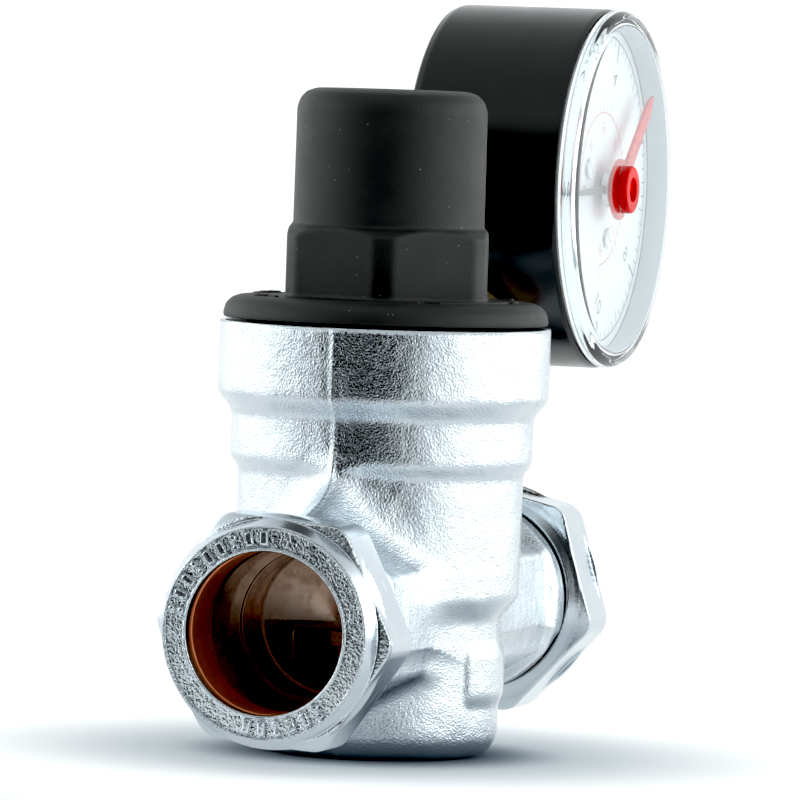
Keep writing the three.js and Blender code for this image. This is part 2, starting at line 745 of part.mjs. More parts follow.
function movementFrame() {
  const [wide, narrow, foot, knee, head] = [8.6, 5, -14.6, -9, 6];
  const outline = new THREE.Shape();
  outline.moveTo(-wide, foot).lineTo(wide, foot).lineTo(wide, knee).lineTo(narrow, head);
  outline.lineTo(-narrow, head).lineTo(-wide, knee).closePath();
  const back = MOVEMENT_BACK_Y + MOVEMENT_PLATE_T;
  const corners = [[-7.4, -13.4], [7.4, -13.4], [-3.4, 4]];
  const posts = corners.map(([x, z]) => pinY(POST_R, x, z, MOVEMENT_FRONT_Y, back));
  const frame = joined(
    plateY(outline, MOVEMENT_FRONT_Y, MOVEMENT_FRONT_Y + MOVEMENT_PLATE_T),
    plateY(outline, MOVEMENT_BACK_Y, back),
    ...posts,
  );
  const bearings = [0, PIVOT_Z].map((z) => {
    return pinY(SHAFT_R + 0.4, 0, z, MOVEMENT_FRONT_Y - OVERSHOOT, back + OVERSHOOT);
  });
  return piece("movement_frame", cut(frame, ...bearings), BRASS);
}

// Toothed sector with a short tail for the link, on its own pivot pin.
function sectorGear() {
  const half = THREE.MathUtils.degToRad(24);
  const lean = Math.PI / 2 - SECTOR_LEAN;
  const rootR = 1.6;
  const shape = new THREE.Shape();
  shape.moveTo(rootR * Math.cos(lean - 1.4), rootR * Math.sin(lean - 1.4));
  for (let i = 0; i <= 2 * SECTOR_TEETH; i += 1) {
    const angle = lean - half + (half * i) / SECTOR_TEETH;
    const radius = SECTOR_R - GAP / 2 - (i % 2) * 0.5;
    shape.lineTo(radius * Math.cos(angle), radius * Math.sin(angle));
  }
  shape.lineTo(rootR * Math.cos(lean + 1.4), rootR * Math.sin(lean + 1.4));
  shape.closePath();
  const tail = new THREE.BoxGeometry(TAIL_LENGTH + 1, SECTOR_T, 2);
  tail.translate((TAIL_LENGTH - 1) / 2, SECTOR_Y + SECTOR_T / 2, 0).rotateY(SECTOR_LEAN);
  const shapeSolid = joined(
    plateY(shape, SECTOR_Y, SECTOR_Y + SECTOR_T),
    solid(tail),
    pinY(2, 0, 0, SECTOR_Y - 0.6, SECTOR_Y + SECTOR_T + 0.6),
    pinY(SHAFT_R, 0, 0, MOVEMENT_FRONT_Y, MOVEMENT_BACK_Y + MOVEMENT_PLATE_T),
  );
  const mesh = piece("sector_gear", shapeSolid, BRASS);
  mesh.position.z = PIVOT_Z;
  return mesh;
}

function pinionShaft() {
  const pinionR = PINION_R - GAP;
  const [pinionLow, pinionHigh] = [SECTOR_Y - 1, SECTOR_Y + SECTOR_T + 1];
  const tip = HAND_Y - 0.2;
  const back = MOVEMENT_BACK_Y + 1.3;
  const outline = [
    [0, tip],
    [SHAFT_R, tip],
    [SHAFT_R, pinionLow],
    [pinionR, pinionLow],
    [pinionR, pinionHigh],
    [SHAFT_R, pinionHigh],
    [SHAFT_R, back],
    [0, back],
  ];
  return piece("pinion_shaft", turnedY(outline, SMALL), STEEL);
}

// Bar between the free end of the tube and the tail of the sector.
function movementLink() {
  const from = new THREE.Vector2(TAIL_LENGTH - 1, 0).rotateAround(new THREE.Vector2(), -SECTOR_LEAN);
  from.y += PIVOT_Z;
  const to = new THREE.Vector2(TUBE_ARC_R - 2.3, -0.6);
  const along = to.clone().sub(from).normalize().multiplyScalar(0.9);
  const across = new THREE.Vector2(-along.y, along.x);
  const shape = new THREE.Shape([
    from.clone().sub(along).add(across),
    from.clone().sub(along).sub(across),
    to.clone().add(along).sub(across),
    to.clone().add(along).add(across),
  ]);
  return piece("movement_link", plateY(shape, SECTOR_Y - 1.1, SECTOR_Y - GAP), STEEL);
}

function gaugeDial() {
  const plate = turnedY(ringOutline(0, DIAL_R, DIAL_Y, DIAL_Y + DIAL_T));
  const [front, back] = [DIAL_Y - 1, DIAL_Y + DIAL_T + 1];
  const holes = [
    pinY(SHAFT_R * 2, 0, 0, front, back),
    pinY(1.1, -DIAL_SCREW_X, DIAL_SCREW_Z, front, back),
    pinY(1.1, DIAL_SCREW_X, DIAL_SCREW_Z, front, back),
  ];
  return piece("gauge_dial", cut(plate, ...holes), DIAL_WHITE);
}

function dialScrew(name, side) {
  const [headFront, headBack, tip] = [DIAL_Y - 0.6, DIAL_Y - GAP, MOVEMENT_FRONT_Y - 0.4];
  const head = [[0, headFront], [1.6, headFront], [1.6, headBack]];
  const shank = [[0.8, headBack], [0.8, tip], [0, tip]];
  const whole = turnedY([...head, ...shank], SMALL);
  const slot = solid(new THREE.BoxGeometry(4, 0.6, 0.5).translate(0, headFront, 0));
  const mesh = piece(name, cut(whole, slot), STEEL);
  mesh.position.set(side * DIAL_SCREW_X, 0, DIAL_SCREW_Z);
  return mesh;
}

// A hand with its hub, pointing up before it is turned to its angle.
function handShape(length, tail, width) {
  const shape = new THREE.Shape();
  shape.moveTo(-width, -tail).lineTo(width, -tail).lineTo(width * 0.7, 0);
  shape.lineTo(width * 0.25, length).lineTo(-width * 0.25, length).lineTo(-width * 0.7, 0).closePath();
  return shape;
}

function gaugePointer() {
  const blade = plateY(handShape(17.5, 6.5, 1.1), HAND_Y, HAND_Y + HAND_T);
  const [front, back] = [HAND_Y - 0.7, HAND_Y + 0.7];
  const hub = pinY(HAND_HUB_R, 0, 0, front, back, MEDIUM);
  const bore = pinY(SHAFT_R + GAP, 0, 0, front - 1, back + 1);
  const mesh = piece("gauge_pointer", cut(joined(blade, hub), bore), BLACK_CASE);
  mesh.rotation.y = ZERO_ANGLE;
  return mesh;
}

function gaugeWindow() {
  const rim = CASE_R - 0.1;
  const shell = turnedY([
    [KNOB_NECK_R + 0.4, WINDOW_FRONT_Y],
    [rim - 1.2, WINDOW_FRONT_Y],
    [rim - 0.35, WINDOW_FRONT_Y + 0.35],
    [rim, WINDOW_FRONT_Y + 1.2],
    [rim, CASE_FRONT_Y - GAP],
    [CASE_BORE_R - GAP, CASE_FRONT_Y - GAP],
    [CASE_BORE_R - GAP, DIAL_Y - 0.6],
    [23.2, DIAL_Y - 0.6],
    [23.2, WINDOW_BACK_Y],
    [KNOB_NECK_R + 0.4, WINDOW_BACK_Y],
    [KNOB_NECK_R + 0.4, WINDOW_FRONT_Y],
  ]);
  return piece("gauge_window", shell, CLEAR);
}

// The red knob goes through the window and carries the red set hand behind it.
function setKnob() {
  const inside = WINDOW_BACK_Y + GAP;
  const outside = WINDOW_FRONT_Y - GAP;
  const front = outside - KNOB_HEAD;
  const knob = turnedY(
    [
      [0, front],
      [KNOB_R - 0.4, front],
      [KNOB_R, front + 0.4],
      [KNOB_R, outside],
      [KNOB_NECK_R, outside],
      [KNOB_NECK_R, inside],
      [KNOB_FLANGE_R, inside],
      [KNOB_FLANGE_R, inside + 0.35],
      [0, inside + 0.35],
    ],
    MEDIUM,
  );
  const slot = new THREE.BoxGeometry(8, 1.6, 0.9).rotateY(SET_ANGLE).translate(0, front, 0);
  return piece("set_knob", cut(knob, solid(slot)), RED);
}

function setPointer() {
  const near = WINDOW_BACK_Y + GAP;
  const bladeShape = new THREE.Shape();
  bladeShape.moveTo(-1.4, 4.8).lineTo(1.4, 4.8).lineTo(1.1, 18).lineTo(0, 21).lineTo(-1.1, 18).closePath();
  const mesh = piece("set_pointer", plateY(bladeShape, near, near + 0.5), RED);
  mesh.rotation.y = SET_ANGLE;
  return mesh;
}

function gauge() {
  const group = new THREE.Group();
  group.position.set(GAUGE_X, 0, GAUGE_Z);
  group.rotation.y = GAUGE_TURN;
  group.add(
    gaugeCase(),
    gaugeStem(),
    gaugeWasher(),
    bourdonTube(),
    movementFrame(),
    sectorGear(),
    pinionShaft(),
    movementLink(),
    gaugeDial(),
    dialScrew("dial_screw_left", -1),
    dialScrew("dial_screw_right", 1),
    gaugePointer(),
    gaugeWindow(),
    setKnob(),
    setPointer(),
  );
  return group;
}

// ---- Assembly ------------------------------------------------------------------------------
const valve = new THREE.Group();
valve.add(
  valveBody(),
  compressionNut("inlet_nut", -1, INLET_FACE_X, INLET_NUT_TURN),
  compressionNut("outlet_nut", 1, OUTLET_FACE_X, OUTLET_NUT_TURN),
  olive("inlet_olive", -1, INLET_FACE_X),
  olive("outlet_olive", 1, OUTLET_FACE_X),
  strainer(),
  seatRing(),
  oRing("seat_o_ring", 9, 0.6, 20.5),
  discHolder(),
  valveDisc(),
  hexNut("disc_nut", 4, STEM_R + GAP, DISC_Z - 5.6, DISC_Z - 3.5, BRASS),
  valveStem(),
  stemGuide(),
  diaphragmWasher(),
  diaphragm(),
  slipRing(),
  lowerSpringPlate(),
  hexNut("diaphragm_nut", 4, STEM_R + GAP, LOWER_PLATE_Z + 1.9, LOWER_PLATE_Z + 4.9, STEEL),
  springHousing(),
  mainSpring(),
  upperSpringPlate(),
  adjustingScrew(),
  thrustWasher(),
  gauge(),
);

export default valve;
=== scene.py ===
"""Looks of the pressure reducing valve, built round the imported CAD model.

Shapes are worked out in millimetres in the row frame and become metres when a mesh is made.
"""

from math import cos, hypot, pi, radians, sin, sqrt

import bmesh
import bpy
import numpy as np
from mathutils import Euler, Matrix, Vector


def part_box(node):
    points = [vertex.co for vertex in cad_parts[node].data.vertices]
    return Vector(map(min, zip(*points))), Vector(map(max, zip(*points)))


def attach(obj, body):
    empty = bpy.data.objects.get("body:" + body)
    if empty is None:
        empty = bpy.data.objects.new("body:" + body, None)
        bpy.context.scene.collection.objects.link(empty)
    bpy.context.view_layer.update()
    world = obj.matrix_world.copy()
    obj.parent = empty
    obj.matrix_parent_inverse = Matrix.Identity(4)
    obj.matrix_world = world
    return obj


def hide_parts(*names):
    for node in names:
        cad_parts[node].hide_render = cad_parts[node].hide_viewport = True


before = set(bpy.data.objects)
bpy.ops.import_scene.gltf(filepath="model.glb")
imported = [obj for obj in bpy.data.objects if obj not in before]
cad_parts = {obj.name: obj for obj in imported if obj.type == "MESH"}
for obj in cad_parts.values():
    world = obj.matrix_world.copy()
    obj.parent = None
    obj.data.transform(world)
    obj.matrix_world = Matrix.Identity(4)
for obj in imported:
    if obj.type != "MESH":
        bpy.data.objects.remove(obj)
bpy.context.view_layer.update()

MM = 0.001
TAU = 2 * pi
X, Y, Z = 0, 1, 2


# ---- Sizes, in millimetres, the same as in the CAD model where it has them
def extent(node, axis):
    """The lowest and highest place of a CAD node along an axis."""
    return [round(corner[axis] / MM, 2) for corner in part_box(node)]


def middle(node, axis):
    return round(sum(extent(node, axis)) / 2, 2)


PIPE_Z = middle("inlet_olive", Z)
SOCKET_R = 11.15
COLLAR_TOP_Z = 60.5
LEDGE_Z = 48.5
INLET_FACE = -extent("inlet_nut", X)[0]
OUTLET_NUT_BACK, OUTLET_FACE = extent("outlet_nut", X)
NUT_DEPTH = round(OUTLET_FACE - OUTLET_NUT_BACK, 2)
MOUTH_DEPTH = round(OUTLET_FACE - extent("valve_body", X)[1], 2)
TUBE_STOP_DEPTH = 21.5
PORT_STEP_DEPTH = 30.1
PORT_END_X = 13.5
STOP_R = 10.2
BORE_R = 9.9
THREAD_PITCH = 1.814
GAUGE_AT = np.array([middle("gauge_case", X), 0, middle("gauge_case", Z)])
GAUGE_TURN = radians(45)
BOSS_MOUTH = 34.9
CASE_R = round(extent("gauge_case", X)[1] - GAUGE_AT[X], 2)
CASE_BORE_R = 24.9
CASE_FRONT_Y, CASE_BACK_Y = extent("gauge_case", Y)
DIAL_R = 24.3
DIAL_Y = extent("gauge_dial", Y)[0]
WINDOW_FRONT_Y = extent("gauge_window", Y)[0]
WINDOW_BACK_Y = -15.9
WINDOW_SPIGOT_R = 24.35
SET_ANGLE = radians(49)
SCALE_START = radians(225)
SCALE_SWEEP = radians(270)

# Each end of the pipe: its nut's turn, and the centre (y, up) and radius of the nut's front chamfer.
INLET = {"word": "inlet", "side": -1, "face": INLET_FACE, "turn": radians(4.5)}
INLET["chamfer"] = (-1.7, 0.85, 15.9)
OUTLET = {"word": "outlet", "side": 1, "face": OUTLET_FACE, "turn": radians(13.5)}
OUTLET["chamfer"] = (0, 0, 17.1)


# ---- Node helpers
class Shader:
    """A procedural material, or world, and short ways to add nodes to it."""

    def __init__(self, owner):
        owner.use_nodes = True
        self.tree = owner.node_tree
        self.tree.nodes.clear()

    def add(self, kind, inputs=None, **settings):
        node = self.tree.nodes.new(kind)
        for name, value in settings.items():
            setattr(node, name, value)
        for name, value in (inputs or {}).items():
            if isinstance(value, bpy.types.NodeSocket):
                self.tree.links.new(value, node.inputs[name])
            else:
                node.inputs[name].default_value = value
        return node

    def math(self, operation, first, second=0.0, third=0.0):
        node = self.add("ShaderNodeMath", {0: first, 1: second, 2: third}, operation=operation)
        return node.outputs[0]

    def mix_color(self, factor, first, second):
        inputs = {0: factor, 6: first, 7: second}
        return self.add("ShaderNodeMix", inputs, data_type="RGBA").outputs[2]

    def ramp(self, value, low, high, from_value=0.0, to_value=1.0):
        """A smooth step from from_value to to_value while value goes from low to high."""
        inputs = {"Value": value, "From Min": low, "From Max": high}
        inputs |= {"To Min": from_value, "To Max": to_value}
        return self.add("ShaderNodeMapRange", inputs, interpolation_type="SMOOTHSTEP").outputs["Result"]

    def position(self):
        """Place in the row frame at rest, in metres."""
        return self.add("ShaderNodeTexCoord").outputs["Object"]

    def noise(self, size_mm, detail=2.0, roughness=0.5, vector=None):
        inputs = {"Vector": vector or self.position(), "Scale": 1 / (size_mm * MM), "Detail": detail}
        inputs["Roughness"] = roughness
        return self.add("ShaderNodeTexNoise", inputs).outputs["Fac"]

    def bump(self, height, depth_mm, normal=None):
        inputs = {"Height": height, "Distance": depth_mm * MM}
        if normal:
            inputs["Normal"] = normal
        return self.add("ShaderNodeBump", inputs).outputs["Normal"]

    def surface(self, shader):
        self.add("ShaderNodeOutputMaterial", {"Surface": shader})


def principled(shader, **inputs):
    named = {key.replace("_", " "): value for key, value in inputs.items()}
    return shader.add("ShaderNodeBsdfPrincipled", named).outputs["BSDF"]


def new_material(name):
    material = bpy.data.materials.new(name)
    return material, Shader(material)


def rgb(red, green, blue):
    return (red, green, blue, 1.0)


# ---- Materials
def chrome_material(name, pebble_mm, pebble_depth_mm):
    """Bright plate. The mesh's forged attribute is 1 on as-forged skin and 0 on machined faces."""
    material, s = new_material(name)
    forged = s.add("ShaderNodeAttribute", attribute_name="forged").outputs["Fac"]
    pebbles = s.noise(pebble_mm, 1.7, 0.55)
    swell = s.noise(pebble_mm * 9, 1.0)
    height = s.math("MULTIPLY_ADD", swell, 1.4, pebbles)
    rough_skin = s.bump(s.math("MULTIPLY", height, forged), pebble_depth_mm)
    normal = s.bump(s.noise(0.35, 3.0, 0.6), 0.0012, rough_skin)
    patches = s.ramp(s.noise(7, 3.0), 0.35, 0.7)
    color = s.mix_color(patches, rgb(0.555, 0.615, 0.655), rgb(0.60, 0.65, 0.685))
    roughness = s.math("MULTIPLY_ADD", forged, -0.11, 0.18)
    s.surface(principled(s, Base_Color=color, Metallic=1.0, Roughness=roughness, Normal=normal))
    return material


def turned_metal(name, color, dark, roughness, grain=(1, 1, 1)):
    """Metal with fine machining lines; grain is how tightly they follow each other along x, y and z."""
    material, s = new_material(name)
    stretched = s.add("ShaderNodeVectorMath", {0: s.position(), 1: grain}, operation="MULTIPLY")
    lines = s.noise(0.12, 2.0, 0.6, stretched.outputs[0])
    stain = s.ramp(s.noise(2.6, 4.0, 0.6), 0.35, 0.72)
    normal = s.bump(lines, 0.004)
    mixed = s.mix_color(stain, color, dark)
    rough = s.math("MULTIPLY_ADD", stain, 0.12, roughness)
    s.surface(principled(s, Base_Color=mixed, Metallic=1.0, Roughness=rough, Normal=normal))
    return material


def moulded_plastic(name, color, roughness, grain_mm, grain_depth_mm, dust=0.0, sheen=0.5):
    material, s = new_material(name)
    normal = s.bump(s.noise(grain_mm, 2.0, 0.6), grain_depth_mm)
    cloud = s.ramp(s.noise(5, 3.0), 0.3, 0.7)
    lighter = tuple(min(1.0, c * 1.35 + 0.002) for c in color[:3]) + (1.0,)
    base = s.mix_color(cloud, color, lighter)
    if dust:
        cells = {"Vector": s.position(), "Scale": 1 / (1.9 * MM)}
        near = s.add("ShaderNodeTexVoronoi", cells).outputs["Distance"]
        speck = s.ramp(near, 0.035, 0.055, dust, 0.0)
        base = s.mix_color(speck, base, rgb(0.42, 0.43, 0.44))
    rough = s.math("MULTIPLY_ADD", cloud, 0.06, roughness)
    s.surface(principled(s, Base_Color=base, Roughness=rough, Specular_IOR_Level=sheen, Normal=normal))
    return material


def clear_plastic(name):
    """Clear acrylic. Shadow and diffuse rays pass straight through, so the dial behind it is lit."""
    material, s = new_material(name)
    faint = s.bump(s.noise(4, 2.0), 0.002)
    tint = rgb(0.96, 0.985, 0.99)
    glass = principled(s, Base_Color=tint, Roughness=0.015, IOR=1.49, Transmission_Weight=1.0, Normal=faint)
    clear = s.add("ShaderNodeBsdfTransparent", {"Color": rgb(0.93, 0.96, 0.97)}).outputs["BSDF"]
    rays = s.add("ShaderNodeLightPath")
    indirect = s.math("MAXIMUM", rays.outputs["Is Shadow Ray"], rays.outputs["Is Diffuse Ray"])
    s.surface(s.add("ShaderNodeMixShader", {0: indirect, 1: glass, 2: clear}).outputs[0])
    return material


def enamel(name, color):
    material, s = new_material(name)
    mottle = s.ramp(s.noise(3, 3.0), 0.3, 0.7)
    worn = tuple(c * 0.94 for c in color[:3]) + (1.0,)
    base = s.mix_color(mottle, color, worn)
    normal = s.bump(s.noise(0.5, 2.0), 0.002)
    s.surface(principled(s, Base_Color=base, Roughness=0.42, Normal=normal))
    return material


ROUND_PIPE = (1, 0.1, 0.1)
FORGED_CHROME = chrome_material("forged_chrome", 0.30, 0.125)
NUT_CHROME = chrome_material("nut_chrome", 0.40, 0.17)
BORE_BRASS = turned_metal("bore_brass", rgb(0.42, 0.32, 0.25), rgb(0.34, 0.25, 0.19), 0.20, ROUND_PIPE)
BRASS = turned_metal("turned_brass", rgb(0.72, 0.56, 0.28), rgb(0.55, 0.38, 0.17), 0.24)
COPPER = turned_metal("copper", rgb(0.85, 0.33, 0.17), rgb(0.72, 0.25, 0.12), 0.45, ROUND_PIPE)
STEEL = turned_metal("stainless_steel", rgb(0.60, 0.61, 0.62), rgb(0.47, 0.48, 0.49), 0.26)
SPRING_STEEL = turned_metal("spring_steel", rgb(0.36, 0.37, 0.40), rgb(0.22, 0.23, 0.25), 0.34)
BLACK_NYLON = moulded_plastic("black_nylon", rgb(0.0055, 0.0055, 0.0055), 0.54, 0.20, 0.055, dust=0.5)
BLACK_CASE = moulded_plastic("black_case", rgb(0.0012, 0.0012, 0.0013), 0.20, 0.5, 0.002, dust=0.1)
RUBBER = moulded_plastic("rubber", rgb(0.018, 0.018, 0.020), 0.70, 0.2, 0.008)
FIBRE = moulded_plastic("fibre", rgb(0.30, 0.07, 0.04), 0.75, 0.15, 0.01)
RED_PLASTIC = moulded_plastic("red_plastic", rgb(0.56, 0.003, 0.001), 0.24, 0.8, 0.003, sheen=0.14)
DIAL_WHITE = enamel("dial_white", rgb(0.86, 0.88, 0.89))
CASE_LINING = enamel("case_lining", rgb(0.60, 0.65, 0.69))
# Pale, non-metal colour for the step edges in the bore: a painted glint.
PAINTED_GLINT_EDGE = enamel("painted_glint_edge", rgb(0.95, 0.76, 0.64))
BLACK_INK = enamel("black_ink", rgb(0.13, 0.14, 0.15))
RED_INK = enamel("red_ink", rgb(0.72, 0.25, 0.24))
POINTER_BLACK = enamel("pointer_black", rgb(0.16, 0.18, 0.175))
CLEAR = clear_plastic("clear_acrylic")


# ---- Mesh helpers
def link(mesh, material, replaces=(), body="root"):
    """Puts a mesh in the scene as a piece of the same name that rides on a CAD body."""
    piece = bpy.data.objects.new(mesh.name, mesh)
    bpy.context.scene.collection.objects.link(piece)
    if material:
        mesh.materials.clear()
        mesh.materials.append(material)
    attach(piece, body)
    if replaces:
        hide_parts(*replaces)


def mark_edges(mesh, sharp_degrees=32):
    """Smooth shading, with edges over the angle kept crisp."""
    work = bmesh.new()
    work.from_mesh(mesh)
    for face in work.faces:
        face.smooth = True
    for edge in work.edges:
        edge.smooth = len(edge.link_faces) != 2 or edge.calc_face_angle(0.0) <= radians(sharp_degrees)
    work.to_mesh(mesh)
    work.free()


def mesh_from(name, points, faces, sharp_degrees=32):
    """A mesh from points in millimetres."""
    mesh = bpy.data.meshes.new(name)
    mesh.from_pydata((np.asarray(points, float) * MM).tolist(), [], faces)
    mesh.update()
    mark_edges(mesh, sharp_degrees)
    return mesh


CORNERS = np.array([[i, j, k] for i in (0, 1) for j in (0, 1) for k in (0, 1)])


def crossing_centres(values, cells):
    """The mean of the places where the surface crosses each cell's twelve edges."""
    total = np.zeros((len(cells), 3))
    hits = np.zeros(len(cells))
    for a in CORNERS:
        for axis in range(3):
            if a[axis]:
                continue
            b = a.copy()
            b[axis] = 1
            va = values[tuple((cells + a).T)].astype(float)
            vb = values[tuple((cells + b).T)].astype(float)
            crossed = (va < 0) != (vb < 0)
            share = np.where(crossed, va / np.where(crossed, va - vb, 1.0), 0.0)
            place = a + (b - a) * share[:, None]
            total[crossed] += place[crossed]
            hits += crossed
    return cells + total / hits[:, None]


def edge_quads(inside, index, axis):
    """One quad round each grid edge along axis that the surface crosses, facing out."""
    u, v = (axis + 1) % 3, (axis + 2) % 3
    low = [slice(None)] * 3
    high = [slice(None)] * 3
    low[axis], high[axis] = slice(None, -1), slice(1, None)
    starts = inside[tuple(low)]
    changed = np.argwhere(starts != inside[tuple(high)])
    outward = starts[tuple(changed.T)]
    step_u, step_v = np.eye(3, dtype=int)[u], np.eye(3, dtype=int)[v]
    rings = [changed - step_u - step_v, changed - step_v, changed, changed - step_u]
    quads = np.stack([index[tuple(cell.T)] for cell in rings], axis=1)
    quads[~outward] = quads[~outward][:, ::-1]
    return quads


TETRAHEDRON = np.array([[1, -1, -1], [-1, -1, 1], [-1, 1, -1], [1, 1, 1]])
BLOCK = 8


def value_and_slope(field, points, reach=0.03):
    """The field and its gradient at each point, from four samples round it."""
    samples = [field(*(points + reach * corner).T) for corner in TETRAHEDRON]
    slope = sum(corner * value[:, None] for corner, value in zip(TETRAHEDRON, samples)) / (4 * reach)
    return sum(samples) / 4, slope


def sample_near_surface(field, start, shape, step):
    """Field values on a grid of whole blocks. Blocks far from the surface only get the right sign."""
    blocks = np.argwhere(np.ones(shape // BLOCK, bool))
    middles = start + step * (blocks * BLOCK + (BLOCK - 1) / 2)
    rough = field(*middles.T)
    values = np.repeat(np.repeat(np.repeat(rough.reshape(shape // BLOCK), BLOCK, 0), BLOCK, 1), BLOCK, 2)
    values = values.astype(np.float32)
    corner = np.argwhere(np.ones((BLOCK,) * 3, bool))
    near = blocks[np.abs(rough) < BLOCK * step * 1.25]
    for first in range(0, len(near), 400):
        cells = (near[first : first + 400, None] * BLOCK + corner).reshape(-1, 3)
        values[tuple(cells.T)] = field(*(start + step * cells).T)
    return values


def field_mesh(name, field, low, high, step, forged=None):
    """Meshes the surface where field(x, y, z) is 0, in millimetres, with exact normals."""
    start = np.array(low, float) - 2.13 * step
    shape = (np.ceil((np.array(high) + 2 * step - start) / step / BLOCK).astype(int) + 1) * BLOCK
    values = sample_near_surface(field, start, shape, step)
    inside = values < 0
    count = np.zeros([n - 1 for n in inside.shape], np.int8)
    for i, j, k in CORNERS:
        count += inside[i : i + count.shape[0], j : j + count.shape[1], k : k + count.shape[2]]
    active = (count > 0) & (count < 8)
    index = np.full(count.shape, -1, np.int64)
    index[active] = np.arange(active.sum())
    points = start + step * crossing_centres(values, np.argwhere(active))
    quads = np.concatenate([edge_quads(inside, index, axis) for axis in range(3)])
    for _ in range(3):
        value, slope = value_and_slope(field, points)
        size = np.maximum((slope**2).sum(1), 0.05)
        points += np.clip(-(value / size)[:, None] * slope, -0.4 * step, 0.4 * step)
    mesh = bpy.data.meshes.new(name)
    mesh.from_pydata((points * MM).tolist(), [], quads.tolist())
    mesh.update()
    mesh.shade_smooth()
    normals = value_and_slope(field, points)[1]
    normals /= np.maximum(np.linalg.norm(normals, axis=1), 1e-6)[:, None]
    mesh.normals_split_custom_set_from_vertices(normals.tolist())
    if forged:
        layer = mesh.attributes.new("forged", "FLOAT", "POINT")
        layer.data.foreach_set("value", forged(*points.T).astype(np.float32))
    return mesh


def smooth_min(a, b, k):
    share = np.clip(0.5 + 0.5 * (b - a) / k, 0, 1)
    return b * (1 - share) + a * share - k * share * (1 - share)


def smooth_max(a, b, k):
    return -smooth_min(-a, -b, k)


def polygon_distance(x, y, corners):
    """Signed distance to a polygon, negative inside."""
    corners = np.asarray(corners, float)
    nearest = np.full(np.shape(x), np.inf)
    sign = np.ones(np.shape(x))
    for a, b in zip(corners, np.roll(corners, 1, axis=0)):
        edge = b - a
        if not edge.any():
            continue
        px, py = x - a[0], y - a[1]
        share = np.clip((px * edge[0] + py * edge[1]) / (edge @ edge), 0, 1)
        nearest = np.minimum(nearest, (px - edge[0] * share) ** 2 + (py - edge[1] * share) ** 2)
        above, below = y >= a[1], y < b[1]
        left = edge[0] * py > edge[1] * px
        flip = (above & below & left) | (~above & ~below & ~left)
        sign = np.where(flip, -sign, sign)
    return sign * np.sqrt(nearest)


class SoftProfile:
    def __init__(self, corners, soften, step=0.1):
        corners = np.asarray(corners, float)
        margin = 6.0
        self.step = step
        self.low = corners.min(0) - margin
        high = corners.max(0) + margin
        r = np.arange(self.low[0], high[0], step)
        z = np.arange(self.low[1], high[1], step)
        mirrored = np.concatenate([corners, corners[::-1] * [-1, 1]])
        table = polygon_distance(*np.meshgrid(r, z, indexing="ij"), mirrored)
        reach = int(3 * soften / step) + 1
        weights = np.exp(-0.5 * (np.arange(-reach, reach + 1) * step / soften) ** 2)
        weights /= weights.sum()
        for axis in (0, 1):
            padded = np.pad(table, [(reach, reach) if i == axis else (0, 0) for i in (0, 1)], mode="edge")
            size = table.shape[axis]
            table = sum(w * np.take(padded, range(k, k + size), axis) for k, w in enumerate(weights))
        self.table = table.astype(np.float32)

    def __call__(self, r, z):
        a = np.clip((r - self.low[0]) / self.step, 0, self.table.shape[0] - 1.001)
        b = np.clip((z - self.low[1]) / self.step, 0, self.table.shape[1] - 1.001)
        i, j = a.astype(int), b.astype(int)
        a, b = a - i, b - j
        t = self.table
        near = t[i, j] * (1 - b) + t[i, j + 1] * b
        far = t[i + 1, j] * (1 - b) + t[i + 1, j + 1] * b
        return near * (1 - a) + far * a


def hexagon(x, y, apothem, rounding):
    """Signed distance to a hexagon with corners on the x axis."""
    inner = apothem - rounding
    kx, ky, kz = -sqrt(3) / 2, 0.5, 1 / sqrt(3)
    px, py = np.abs(x), np.abs(y)
    over = 2 * np.minimum(kx * px + ky * py, 0)
    px, py = px - over * kx, py - over * ky
    px, py = px - np.clip(px, -kz * inner, kz * inner), py - inner
    return np.hypot(px, py) * np.sign(py) - rounding


def capped(radial, along, radius, low, high, edge):
    """A cylinder with rounded ends, from its radial and along distances."""
    return smooth_max(radial - radius, np.abs(along - (low + high) / 2) - (high - low) / 2, edge)


def box_field(x, y, z, centre, half, edge):
    """A box with rounded edges, from its centre and half sizes."""
    d = [np.abs(v - c) - h + edge for v, c, h in zip((x, y, z), centre, half)]
    outside = np.sqrt(sum(np.maximum(v, 0) ** 2 for v in d))
    return outside + np.minimum(np.maximum.reduce(d), 0) - edge


def round_corners(outline, radius, steps=4):
    """Rounds every corner of a closed outline, with a short straight at both ends of each round.

    The straights keep the bending of the normals out of the flat and cylindrical faces between.
    """
    points = [np.array(p, float) for p in outline]
    rounded = []
    for before, corner, after in zip([points[-1]] + points[:-1], points, points[1:] + points[:1]):
        to_before, to_after = before - corner, after - corner
        size_before, size_after = np.linalg.norm(to_before), np.linalg.norm(to_after)
        reach = min(radius, 0.4 * size_before, 0.4 * size_after)
        straight = 0.05 * min(size_before, size_after, 4)
        start = corner + to_before / size_before * reach
        end = corner + to_after / size_after * reach
        rounded.append(start + to_before / size_before * straight)
        for i in range(steps + 1):
            t = i / steps
            rounded.append((1 - t) ** 2 * start + 2 * t * (1 - t) * corner + t**2 * end)
        rounded.append(end + to_after / size_after * straight)
    return np.array(rounded)


def turned(name, outline, place, sides=160, rounding=0.15, sharp_degrees=40):
    """A closed ring outline of (radius, along) turned about the along axis; place maps the points."""
    ring = round_corners(outline, rounding) if rounding else np.array(outline, float)
    angles = np.arange(sides) * TAU / sides
    radial = ring[:, 0][None, :]
    along = np.repeat(ring[:, 1][None, :], sides, axis=0)
    points = np.stack([radial * np.cos(angles)[:, None], radial * np.sin(angles)[:, None], along], axis=2)
    count = len(ring)
    faces = []
    for i in range(sides):
        j = (i + 1) % sides
        for k in range(count):
            m = (k + 1) % count
            faces.append((i * count + k, j * count + k, j * count + m, i * count + m))
    mesh = mesh_from(name, place(points.reshape(-1, 3)), faces, sharp_degrees)
    face_out(mesh)
    return mesh


